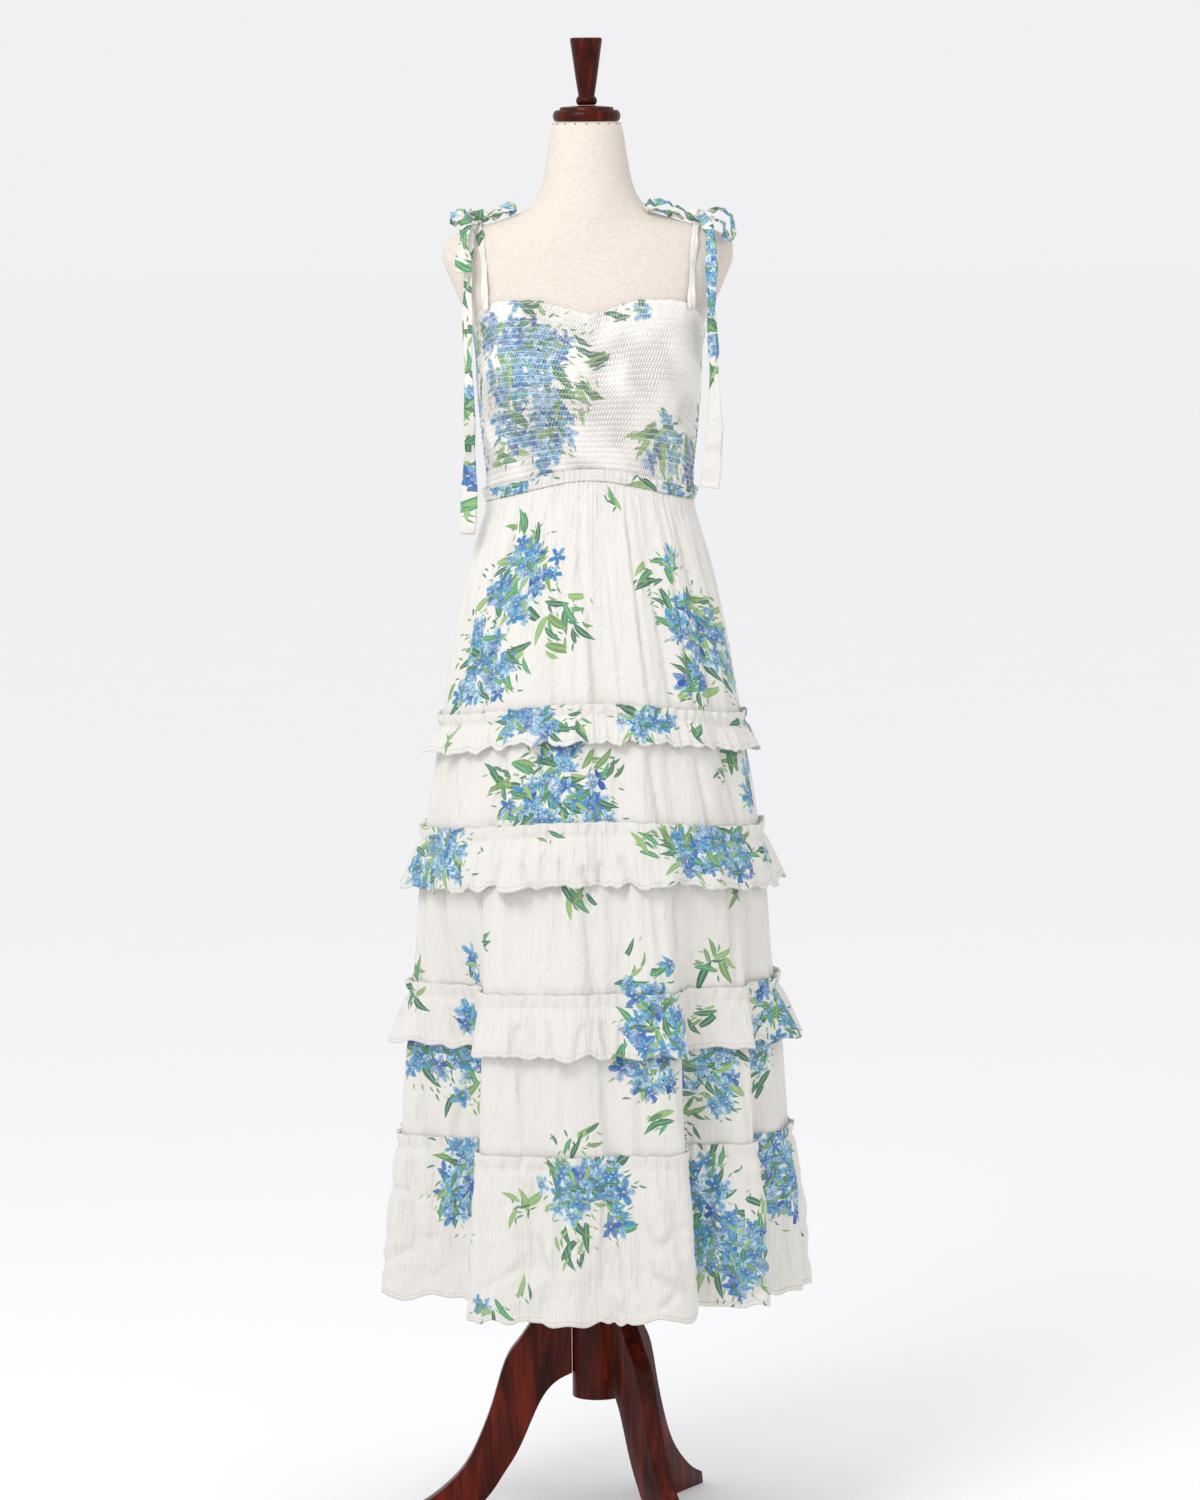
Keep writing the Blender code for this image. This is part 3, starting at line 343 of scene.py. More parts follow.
def uneven(angle: np.ndarray, count: int, seed: float) -> np.ndarray:
    """A ring of gathers from -1 to 1, uneven in pitch and height, that closes on itself.

    Args:
        angle: Directions in degrees.
        count: Gathers in the whole ring.
        seed: Shifts the unevenness.

    Returns:
        The gather height at each angle.
    """
    turn = np.radians(angle)
    phase = count * turn + 1.7 * np.sin(7 * turn + seed) + 1.2 * np.sin(13 * turn + 2.3 * seed)
    strength = 0.62 + 0.25 * np.sin(5 * turn + 3.1 * seed) + 0.13 * np.sin(17 * turn + seed)
    return np.cos(phase) * strength


def rumple(angle: np.ndarray, z: np.ndarray, size: float, seed: float, stretch: float = 1.0) -> np.ndarray:
    """Smooth noise round a tube, about -1 to 1, that closes on itself.

    Args:
        angle: Directions in degrees.
        z: Heights.
        size: The rumples' width in metres.
        seed: Shifts the pattern.
        stretch: How many times taller than wide they are.

    Returns:
        One value a point.
    """
    turn = np.radians(angle)
    ring = (NOISE_ARM * np.sin(turn) / size, NOISE_ARM * np.cos(turn) / size, z / (size * stretch))
    scaled = np.stack(ring, axis=1) + seed
    return np.array([noise.noise(Vector(row)) for row in scaled])


class Garment:
    """The dress's form: where its outer face lies at any angle and height."""

    # The chest's two rounds: height, swell, half-height, angle to the side and half-width in degrees.
    CHEST_Z, CHEST_SWELL, CHEST_TALL, CHEST_SIDE, CHEST_WIDE = 1.515, 0.007, 0.055, 36.0, 22.0

    def __init__(self) -> None:
        """Read both section tables every millimetre."""
        self.form = self._sampled(FORM)
        self.skirt = self._sampled(SKIRT)

    @staticmethod
    def _sampled(table: Sequence[Section]) -> tuple:
        """Read a section table at every millimetre of height.

        Args:
            table: The sections.

        Returns:
            The heights and the four columns' values there.
        """
        rising = sorted(table, key=lambda row: row.z)
        z = np.arange(rising[0].z, rising[-1].z + 0.0005, 0.001)
        return z, [steady([(row.z, row[i]) for row in rising], z) for i in range(1, 5)]

    @staticmethod
    def _ring(sampled: tuple, angle: np.ndarray, z: np.ndarray) -> np.ndarray:
        """Distance from the axis to a rounded ring.

        Args:
            sampled: A table that _sampled read.
            angle: Directions in degrees.
            z: Heights.

        Returns:
            One distance a point.
        """
        heights, columns = sampled
        half, front, back, power = (np.interp(z, heights, column) for column in columns)
        turn = np.radians(angle)
        depth = np.where(np.cos(turn) > 0.0, front, back)
        side, ahead = (np.abs(np.sin(turn)) / half) ** power, (np.abs(np.cos(turn)) / depth) ** power
        return (side + ahead) ** (-1.0 / power)

    def form_radius(self, angle: np.ndarray, z: np.ndarray) -> np.ndarray:
        """The form's surface, with its two soft rounds at the chest.

        Args:
            angle: Directions in degrees.
            z: Heights.

        Returns:
            Its distance from the axis.
        """
        swell = self.CHEST_SWELL * np.exp(-(((z - self.CHEST_Z) / self.CHEST_TALL) ** 2))
        away = wrap(angle)
        rounds = sum(np.exp(-(((away - side) / self.CHEST_WIDE) ** 2))
                     for side in (-self.CHEST_SIDE, self.CHEST_SIDE))
        return self._ring(self.form, angle, z) + swell * rounds

    @staticmethod
    def level(level: Level, angle: np.ndarray) -> np.ndarray:
        """A seam's height.

        Args:
            level: The seam.
            angle: Directions in degrees.

        Returns:
            Its height at each angle.
        """
        facing = np.cos(np.radians(angle))
        end = np.where(facing > 0.0, level.front, level.back)
        return level.side + (end - level.side) * facing * facing

    @staticmethod
    def fold_depth(angle: np.ndarray, z: np.ndarray) -> np.ndarray:
        """How far the long troughs pull the skirt in.

        Args:
            angle: Directions in degrees.
            z: Heights.

        Returns:
            One depth a point.
        """
        depth = np.zeros(np.broadcast(angle, z).shape)
        for fold in FOLDS:
            away = wrap(angle - fold.angle)
            width = np.where(away > 0.0, fold.width_after, fold.width_before)
            grown = ease((fold.start_z - z) / (fold.start_z - fold.full_z))
            bowl = np.cos(0.5 * np.pi * np.clip(away / width, -1.0, 1.0)) ** 2
            depth = depth + fold.depth * grown * bowl
        return depth

    def radius(self, angle: np.ndarray, z: np.ndarray) -> np.ndarray:
        """The cloth's outer face, the bodice above the waist and the skirt below it.

        Args:
            angle: Directions in degrees.
            z: Heights.

        Returns:
            Its distance from the axis.
        """
        off_form = FORM_TO_CLOTH + CLOTH_ROOM
        waist = self.level(WAIST, angle)
        fitted = self.form_radius(angle, z) + off_form
        top = self._ring(self.form, angle, waist) + off_form
        ring = self._ring(self.skirt, angle, np.minimum(z, SKIRT[0].z))
        part = np.clip((waist - z) / (waist - SKIRT[0].z), 0.0, 1.0)
        hanging = np.where(z > SKIRT[0].z, top + (ring - top) * part**1.25, ring)
        below = np.maximum(waist - z, 0.0)
        # Fourteen ripples, 1 mm deep from 30 mm under the waist, grow to 4.8 mm.
        wave = np.minimum(0.0010 + 0.0045 * below, 0.0048) * ease(below / 0.03)
        ripple = wave * np.cos(np.radians(angle) * 14 + 1.1)
        return np.where(z >= waist, fitted, hanging + ripple - self.fold_depth(angle, z))

    def point(self, angle: np.ndarray, z: np.ndarray, out: np.ndarray) -> np.ndarray:
        """A point moved straight out of the cloth's face.

        Args:
            angle: Directions in degrees.
            z: Heights.
            out: Distances out of the face.

        Returns:
            World points, one row each.
        """

        def ring(turned: np.ndarray) -> tuple:
            """The face's x and y at other directions."""
            radius = self.radius(turned, z)
            return radius * np.sin(np.radians(turned)), -radius * np.cos(np.radians(turned))

        x, y = ring(angle)
        ahead, behind = ring(angle + 1.5), ring(angle - 1.5)
        along = np.stack((ahead[0] - behind[0], ahead[1] - behind[1]))
        along = along / np.linalg.norm(along, axis=0)
        return np.stack((x + along[1] * out, y - along[0] * out, z), axis=1) + AXIS


GARMENT = Garment()


def srgb(code: str) -> tuple:
    """Turn an sRGB hex code into linear colour.

    Args:
        code: The code, such as "#E4E1DB".

    Returns:
        Linear red, green, blue and an alpha of 1.
    """
    parts = [int(code[i:i + 2], 16) / 255.0 for i in (1, 3, 5)]
    linear = [part / 12.92 if part <= 0.04045 else ((part + 0.055) / 1.055) ** 2.4 for part in parts]
    return (*linear, 1.0)


def set_inputs(tree: bpy.types.NodeTree, node: bpy.types.Node, values: dict) -> None:
    """Set a node's inputs, and link those that are given another node's output.

    Args:
        tree: The node tree.
        node: The node.
        values: Input name or number to a value or an output.
    """
    for key, value in values.items():
        if isinstance(value, bpy.types.NodeSocket):
            tree.links.new(value, node.inputs[key])
        else:
            node.inputs[key].default_value = value


def add_node(tree: bpy.types.NodeTree, kind: str, *values: Any, out: int | str | None = 0,
             **settings: Any) -> Any:
    """Add a node with its settings and links.

    Args:
        tree: The node tree.
        kind: The type's name after "ShaderNode", with a maths operation after a colon.
        *values: Its inputs in order, or one dict of them as set_inputs takes it.
        out: The output to return, or None for the node itself.
        **settings: The node's own properties.

    Returns:
        The output or the node.
    """
    name, _, operation = kind.partition(":")
    made = tree.nodes.new(name if name.startswith("NodeGroup") else f"ShaderNode{name}")
    if operation:
        made.operation = operation
    for key, value in settings.items():
        setattr(made, key, value)
    named = bool(values) and isinstance(values[0], dict)
    set_inputs(tree, made, values[0] if named else dict(enumerate(values)))
    return made if out is None else made.outputs[out]


def set_stops(ramp: bpy.types.ColorRamp, stops: Sequence[tuple], sharp: bool = False) -> None:
    """Put a ramp's colours in place.

    Args:
        ramp: The ramp.
        stops: (position, hex code) pairs.
        sharp: Steps in place of blends.
    """
    ramp.interpolation = "CONSTANT" if sharp else "LINEAR"
    while len(ramp.elements) < len(stops):
        ramp.elements.new(0.5)
    for element, (position, code) in zip(ramp.elements, stops):
        element.position = position
        element.color = srgb(code)


def new_material(name: str) -> tuple:
    """Start a material.

    Args:
        name: Its name.

    Returns:
        The material, its node tree, its shader and add_node bound to the tree.
    """
    material = bpy.data.materials.new(name)
    material.use_nodes = True
    tree = material.node_tree
    return material, tree, tree.nodes["Principled BSDF"], partial(add_node, tree)


# The attributes that carry a bouquet's flower heads and leaf sprays to the print.
BLOBS = ("bloom_a", "bloom_b", "bloom_c", "spray_a", "spray_b")
BLOOMS, SPRAYS = BLOBS[:3], BLOBS[3:]
FLAT = (1.0, 1.0, 0.0)


@dataclass(frozen=True)
class BouquetPrint:
    """Screen-printed bouquets, which the eye reads as loose blue flowers over long green leaves."""

    blues: tuple = ((0.00, "#66ABC9"), (0.22, "#4A93BB"), (0.42, "#88C2D4"), (0.58, "#457BB3"),
                    (0.70, "#B3D6DF"), (0.82, "#3A5AA0"), (0.91, "#5AA4BE"))
    greens: tuple = ((0.00, "#2C7147"), (0.26, "#43905A"), (0.50, "#6F9148"), (0.64, "#235E41"),
                     (0.86, "#8FAE66"))
    petals_per_radian: float = 0.7958
    leaf_fan: float = 1.7
    spray_grow: float = 1.45

    @staticmethod
    def _reach(add: Callable, given: Any, centre: Any, names: Sequence[str], grow: Any) -> Any:
        """How deep a motif's centre lies in the bouquet, 1 at a blob's middle and 0 at its edge.

        Args:
            add: add_node bound to the group.
            given: The group's inputs.
            centre: The motif's centre.
            names: The blobs that count.
            grow: How many times wider each blob is taken.

        Returns:
            The depth.
        """
        best: Any = -9.0
        for name in names:
            spread = add("SeparateXYZ", given[name], out=2)
            flat = add("VectorMath:MULTIPLY", given[name], FLAT)
            away = add("VectorMath:DISTANCE", centre, flat, out="Value")
            wide = add("Math:MAXIMUM", add("Math:MULTIPLY", spread, grow), 0.00001)
            best = add("Math:MAXIMUM", best, add("Math:SUBTRACT", 1.0, add("Math:DIVIDE", away, wide)))
        return best

    @staticmethod
    def _start(name: str) -> tuple:
        """Start a motif's group, whose plane is cut in cells that hold one motif each.

        Args:
            name: The group's name.

        Returns:
            The group, add_node bound to it, its inputs, the place in the cell, the motif's centre
            and the cell's three random numbers.
        """
        tree = bpy.data.node_groups.new(name, "ShaderNodeTree")
        sockets = {"Place": "Vector", "Seed": "Vector", "Pitch": "Float", "Size": "Float", "Grow": "Float",
                   **{blob: "Vector" for blob in BLOBS}}
        for side, wanted in (("INPUT", sockets), ("OUTPUT", {"Colour": "Color", "Cover": "Float"})):
            for title, kind in wanted.items():
                tree.interface.new_socket(title, in_out=side, socket_type=f"NodeSocket{kind}")
        add = partial(add_node, tree)
        given = add("NodeGroupInput", out=None).outputs
        place = add("VectorMath:ADD", given["Place"], given["Seed"])
        scale = add("Math:DIVIDE", 1.0, given["Pitch"])
        cells = add("TexVoronoi", {"Vector": place, "Scale": scale, "Randomness": 0.85}, out=None,
                    voronoi_dimensions="2D", feature="F1").outputs
        offset = add("VectorMath:SUBTRACT", place, cells["Position"])
        centre = add("VectorMath:SUBTRACT", cells["Position"], given["Seed"])
        return tree, add, given, offset, centre, add("SeparateColor", cells["Color"], out=None).outputs

    @staticmethod
    def _end(add: Callable, chance: Any, stops: Sequence[tuple], washes: Sequence[tuple], cover: Any) -> None:
        """Colour a motif and end its group.

        Args:
            add: add_node bound to the group.
            chance: The random number that picks a motif's ink.
            stops: The inks.
            washes: (amount, hex code) pairs laid over the ink in turn.
            cover: Where the motif covers the cloth.
        """
        ramp = add("ValToRGB", chance, out=None)
        set_stops(ramp.color_ramp, stops, sharp=True)
        ink = ramp.outputs[0]
        for amount, code in washes:
            ink = add("Mix", {0: amount, 6: ink, 7: srgb(code)}, out=2, data_type="RGBA")
        add("NodeGroupOutput", {"Colour": ink, "Cover": cover}, out=None)

    def flowers(self) -> bpy.types.NodeTree:
        """One layer of open flowers.

        Returns:
            The group.
        """
        tree, add, given, offset, centre, chance = self._start("open_flowers")
        size = add("Math:MULTIPLY", given["Size"], add("Math:MULTIPLY_ADD", chance[0], 0.5, 0.72))
        part = add("SeparateXYZ", offset, out=None).outputs
        turn = add("Math:ADD", add("Math:ARCTAN2", part[1], part[0]), add("Math:MULTIPLY", chance[1], 6.283))
        wobble = add("TexNoise", {"Vector": offset, "Scale": 260.0, "Detail": 1.0}, noise_dimensions="3D")
        across = add("Math:DIVIDE", add("VectorMath:LENGTH", offset, out="Value"), size)
        across = add("Math:ADD", across, add("Math:MULTIPLY", add("Math:SUBTRACT", wobble, 0.5), 0.30))
        petals = add("Math:MULTIPLY", turn, self.petals_per_radian)
        off_rib = add("Math:ABSOLUTE", add("Math:SUBTRACT", add("Math:FRACT", petals), 0.5))
        off_rib = add("Math:MULTIPLY", off_rib, 2.0)
        edge = add("Math:MULTIPLY_ADD", add("Math:POWER", off_rib, 1.35), -0.78, 1.0)
        inside = add("MapRange", add("Math:DIVIDE", across, edge), 1.0, 0.90, 0.0, 1.0)
        reach = self._reach(add, given, centre, BLOOMS, given["Grow"])
        shown = add("Math:GREATER_THAN", add("Math:MULTIPLY_ADD", chance[2], 0.75, reach), 0.48)
        shown = add("Math:MULTIPLY", shown, add("Math:GREATER_THAN", chance[0], 0.16))
        petal = add("CombineXYZ", add("Math:FLOOR", petals), chance[0])
        tone = add("TexWhiteNoise", add("VectorMath:ADD", centre, petal), noise_dimensions="3D")
        rib = add("Math:MULTIPLY", add("MapRange", off_rib, 0.20, 0.05, 0.0, 0.55),
                  add("Math:LESS_THAN", across, 0.72))
        # In turn: pale petals, brush marks, a dark throat, ribs and a small yellow-green eye.
        washes = ((add("Math:MULTIPLY", add("Math:POWER", tone, 2.0), 0.70), "#DDECF4"),
                  (add("Clamp", add("Math:MULTIPLY", add("Math:SUBTRACT", wobble, 0.45), 2.2)), "#4470AB"),
                  (add("MapRange", across, 0.42, 0.16, 0.0, 0.65), "#41599A"), (rib, "#3C66AE"),
                  (add("MapRange", across, 0.12, 0.06, 0.0, 0.7), "#C6D8A4"))
        self._end(add, chance[1], self.blues, washes, add("Math:MULTIPLY", inside, shown))
        return tree

    def leaves(self) -> bpy.types.NodeTree:
        """One layer of pointed leaves that lean out of the bouquet.

        Returns:
            The group.
        """
        tree, add, given, offset, centre, chance = self._start("pointed_leaves")
        middle = add("VectorMath:MULTIPLY", given[BLOBS[0]], FLAT)
        away = add("SeparateXYZ", add("VectorMath:SUBTRACT", centre, middle), out=None).outputs
        heading = add("Math:ADD", add("Math:ARCTAN2", away[1], away[0]),
                      add("Math:MULTIPLY", add("Math:SUBTRACT", chance[0], 0.5), self.leaf_fan))
        turned = add("VectorRotate", {"Vector": offset, "Angle": add("Math:MULTIPLY", heading, -1.0)},
                     rotation_type="Z_AXIS")
        part = add("SeparateXYZ", turned, out=None).outputs
        half = add("Math:MULTIPLY", given["Size"], add("Math:MULTIPLY_ADD", chance[1], 0.45, 0.70))
        along = add("Math:DIVIDE", part[0], half)
        squared = add("Math:MULTIPLY", along, along)
        bent = add("Math:MULTIPLY", squared, add("Math:MULTIPLY", half, 0.16))
        side = add("Math:ABSOLUTE", add("Math:SUBTRACT", part[1], bent))
        belly = add("Math:MAXIMUM", add("Math:SUBTRACT", 1.0, squared), 0.0)
        taper = add("Math:MULTIPLY_ADD", along, -0.35, 1.0)
        width = add("Math:MULTIPLY", add("Math:MULTIPLY", belly, taper), add("Math:MULTIPLY", half, 0.22))
        inside = add("MapRange", add("Math:SUBTRACT", side, width), 0.0, -0.0004, 0.0, 1.0)
        reach = add("Math:MAXIMUM", self._reach(add, given, centre, BLOOMS, given["Grow"]),
                    self._reach(add, given, centre, SPRAYS, self.spray_grow))
        shown = add("Math:GREATER_THAN", add("Math:MULTIPLY_ADD", chance[2], 0.70, reach), 0.46)
        off_rib = add("Math:DIVIDE", side, add("Math:MAXIMUM", width, 0.0001))
        brush = add("TexNoise", {"Vector": offset, "Scale": 330.0, "Detail": 1.0})
        washes = ((add("MapRange", off_rib, 0.30, 0.05, 0.0, 0.35), "#C9DDB8"),
                  (add("Math:MULTIPLY", brush, 0.32), "#A9CFB8"))
        self._end(add, chance[2], self.greens, washes, add("Math:MULTIPLY", inside, shown))
        return tree


class PrintLayer(NamedTuple):
    """A layer of the print: its motif, the motifs' pitch and size in metres, and the blobs' growth."""

    motif: str
    pitch: float
    size: float
    grow: float


# From the bottom up. Motif sizes are real ones: flowers 20 to 30 mm across, leaves 12 to 55 mm long.
LAYERS = (
    PrintLayer("leaves", 0.0120, 0.0068, 2.25), PrintLayer("leaves", 0.0400, 0.0270, 1.75),
    PrintLayer("leaves", 0.0310, 0.0205, 1.80), PrintLayer("flowers", 0.0270, 0.0190, 1.50),
    PrintLayer("leaves", 0.0290, 0.0185, 1.40), PrintLayer("flowers", 0.0240, 0.0170, 1.40),
    PrintLayer("leaves", 0.0350, 0.0200, 1.05), PrintLayer("flowers", 0.0215, 0.0150, 1.35),
    PrintLayer("leaves", 0.0220, 0.0120, 1.25),
)


@dataclass(frozen=True)
class PrintedVoile:
    """Cotton voile, woven fine and screen-printed: the eye sees soft, matt cloth with no shine."""

    name: str
    pleat_pitch: float = 0.006
    pleat_depth: float = 0.28
    row_pitch: float = 0.070
    rumple_depth: float = 0.75
    ground: str = "#E4E1DB"
    slub_tone: str = "#DAD6CF"
    shirred: bool = False
    elastic_gap: float = 0.0075
    gather_gap: float = 0.0040
    hem: float = 0.0

    def _gathered(self, add: Callable, place: Any, cloth: Any) -> tuple:
        """The shirring's effect on the print: fine gathers that lean and wander over the elastic rows.

        Args:
            add: add_node bound to the material.
            place: The print's places.
            cloth: The cloth's own places.

        Returns:
            The broken-up places, where bare cloth shows between two gathers, and the gathers' height.
        """
        part = add("SeparateXYZ", cloth, out=None).outputs
        rows = add("Math:DIVIDE", part[1], self.elastic_gap)
        shift = add("TexWhiteNoise", {"W": add("Math:FLOOR", rows)}, noise_dimensions="1D")
        drift = add("TexNoise", {"Vector": cloth, "Scale": 16.0, "Detail": 1.0}, noise_dimensions="2D")
        slant = add("Math:MULTIPLY_ADD", part[1], -0.42, add("Math:MULTIPLY", drift, 0.016))
        jog = add("Math:MULTIPLY_ADD", shift, 0.16, add("Math:DIVIDE", slant, self.gather_gap))
        step = add("Math:FRACT", add("Math:ADD", add("Math:DIVIDE", part[0], self.gather_gap), jog))
        hidden, lift = (add("Math:MULTIPLY", add("Math:SUBTRACT", amount, 0.5), 0.0030)
                        for amount in (step, shift))
        puff = add("Math:ABSOLUTE", add("Math:SINE", add("Math:MULTIPLY", rows, math.pi)))
        ridge = add("Math:SINE", add("Math:MULTIPLY", step, math.pi))
        bare = add("Math:MAXIMUM", add("Math:LESS_THAN", ridge, 0.26), add("Math:LESS_THAN", puff, 0.22))
        patchy = add("MapRange", drift, 0.36, 0.60, 0.30, 1.0)
        raised = add("Math:MULTIPLY", ridge, add("Math:MULTIPLY", patchy, add("Math:POWER", puff, 0.5)))
        return (add("VectorMath:ADD", place, add("CombineXYZ", hidden, lift)),
                add("Math:MULTIPLY", bare, 0.55), raised)

    def build(self, groups: dict) -> bpy.types.Material:
        """The material, with the print laid on the cloth's own flat metres.

        Args:
            groups: The flower and leaf groups.

        Returns:
            The material.
        """
        material, tree, shader, add = new_material(self.name)
        place, cloth = add("UVMap", uv_map="print"), add("UVMap", uv_map="weave")
        seed, *blobs = (add("Attribute", attribute_name=name, out="Vector") for name in ("seed", *BLOBS))
        # Threads are drawn 1.1 mm wide, because real ones are too fine to show.
        slub = add("TexNoise", {"Vector": add("VectorMath:MULTIPLY", cloth, (900.0, 90.0, 1.0)), "Scale": 1.0,
                                "Detail": 2.0}, noise_dimensions="2D")
        mixed = {"out": 2, "data_type": "RGBA"}
        ground = add("Mix", {0: add("Math:MULTIPLY", slub, 0.35), 6: srgb(self.ground),
                             7: srgb(self.slub_tone)}, **mixed)
        if self.shirred:
            place, bare, raised = self._gathered(add, place, cloth)
        colour = ground
        for index, layer in enumerate(LAYERS, start=1):
            shift = add("VectorMath:ADD", seed, (1.37 * index, 2.11 * index, 0.0))
            motif = add("Group", {"Place": place, "Seed": shift, "Pitch": layer.pitch, "Size": layer.size,
                                  "Grow": layer.grow, **dict(zip(BLOBS, blobs))},
                        out=None, node_tree=groups[layer.motif]).outputs
            colour = add("Mix", {0: motif["Cover"], 6: colour, 7: motif["Colour"]}, **mixed)
        pleated = add("VectorMath:MULTIPLY", cloth, (1.0 / self.pleat_pitch, 1.0 / self.row_pitch, 1.0))
        pleats = add("TexNoise", {"Vector": pleated, "Scale": 1.0, "Detail": 1.0}, noise_dimensions="2D")
        rumpled = add("VectorMath:MULTIPLY", cloth, (45.0, 22.0, 1.0))
        rumples = add("TexNoise", {"Vector": rumpled, "Scale": 1.0, "Detail": 3.0, "Distortion": 0.8},
                      noise_dimensions="2D")
        height = add("Math:ADD", add("Math:MULTIPLY", pleats, self.pleat_depth),
                     add("Math:MULTIPLY", rumples, self.rumple_depth))
        if self.shirred:
            colour = add("Mix", {0: bare, 6: colour, 7: ground}, **mixed)
            height = add("Math:MULTIPLY_ADD", raised, 0.46, height)
        if self.hem > 0.0:
            rise = add("SeparateXYZ", cloth, out=1)
            height = add("Math:ADD", height, add("MapRange", rise, self.hem, self.hem + 0.0012, 0.28, 0.0))
        height = add("Math:MULTIPLY_ADD", slub, 0.03, height)
        set_inputs(tree, shader, {
            "Base Color": colour, "Roughness": 0.82, "Specular IOR Level": 0.25, "Sheen Weight": 0.12,
            "Sheen Roughness": 0.5,
            "Normal": add("Bump", {"Height": height, "Strength": 0.9, "Distance": 0.005})})
        return material


@dataclass(frozen=True)
class LinenCover:
    """Cream linen stretched over the form: the eye sees a matt cover with slubs both ways."""

    name: str = "linen_cover"
    cream: str = "#E2D9CF"
    thread: str = "#D4C9BD"

    def build(self) -> bpy.types.Material:
        """The material, its threads drawn 1.2 mm wide so that they show.

        Returns:
            The material.
        """
        material, tree, shader, add = new_material(self.name)
        place = add("TexCoord", out="Object")
        weft, warp = (add("TexNoise", {"Vector": add("VectorMath:MULTIPLY", place, stretch), "Scale": 1.0,
                                       "Detail": 2.0})
                      for stretch in ((130.0, 130.0, 850.0), (850.0, 850.0, 130.0)))
        weave = add("Math:MULTIPLY", add("Math:ADD", weft, warp), 0.5)
        factor = add("MapRange", weave, 0.38, 0.62, 0.0, 1.0)
        set_inputs(tree, shader, {
            "Base Color": add("Mix", {0: factor, 6: srgb(self.thread), 7: srgb(self.cream)}, out=2,
                              data_type="RGBA"),
            "Normal": add("Bump", {"Height": weave, "Strength": 0.35, "Distance": 0.0008}),
            "Roughness": 0.9, "Specular IOR Level": 0.2, "Sheen Weight": 0.1})
        return material


@dataclass(frozen=True)
class StainedWood:
    """Turned and sawn hardwood, stained and varnished: the eye sees dark streaks under a clear gloss."""

    name: str
    dark: str = "#1C0602"
    mid: str = "#420F05"
    light: str = "#6C210E"
    gloss: float = 0.16
    coat: float = 0.10

    def build(self) -> bpy.types.Material:
        """The material, its grain running up the stand in streaks about 18 mm wide with fine pores.

        Returns:
            The material.
        """
        material, tree, shader, add = new_material(self.name)
        place = add("TexCoord", out="Object")
        broad = add("TexNoise", {"Vector": add("VectorMath:MULTIPLY", place, (55.0, 55.0, 7.0)), "Scale": 1.0,
                                 "Detail": 4.0, "Distortion": 0.6})
        pored = add("VectorMath:MULTIPLY", place, (420.0, 420.0, 26.0))
        pores = add("TexNoise", {"Vector": pored, "Scale": 1.0, "Detail": 2.0})
        grain = add("Math:MULTIPLY_ADD", pores, 0.25, add("Math:MULTIPLY", broad, 0.8))
        ramp = add("ValToRGB", grain, out=None)
        set_stops(ramp.color_ramp, ((0.34, self.dark), (0.52, self.mid), (0.70, self.light)))
        set_inputs(tree, shader, {
            "Base Color": ramp.outputs[0], "Roughness": self.gloss + 0.22, "Specular IOR Level": 0.10,
            "Coat Weight": self.coat, "Coat Roughness": self.gloss,
            "Normal": add("Bump", {"Height": pores, "Strength": 0.12, "Distance": 0.0004})})
        return material


@dataclass(frozen=True)
class PlainFinish:
    """One even finish with a faint mottle: the eye sees plain brass or studio paper."""

    name: str
    colour: str
    mottle: str
    roughness: float
    metallic: float
    grain: float

    def build(self) -> bpy.types.Material:
        """The material.

        Returns:
            The material.
        """
        material, tree, shader, add = new_material(self.name)
        speck = add("TexNoise", {"Vector": add("TexCoord", out="Object"), "Scale": self.grain, "Detail": 2.0})
        set_inputs(tree, shader, {
            "Base Color": add("Mix", {0: speck, 6: srgb(self.colour), 7: srgb(self.mottle)}, out=2,
                              data_type="RGBA"),
            "Roughness": self.roughness, "Metallic": self.metallic})
        return material


def grid_positions(mesh: bpy.types.Mesh, columns: int, rows: int) -> tuple:
    """Each grid vertex's column and row number.

    Args:
        mesh: A flat grid of one unit about the origin.
        columns: Its faces across.
        rows: Its faces up.

    Returns:
        The column numbers and the row numbers.
    """
    flat = np.empty(len(mesh.vertices) * 3)
    mesh.vertices.foreach_get("co", flat)
    flat = flat.reshape(-1, 3)
    return tuple(np.rint((flat[:, axis] + 0.5) * count).astype(int)
                 for axis, count in enumerate((columns, rows)))


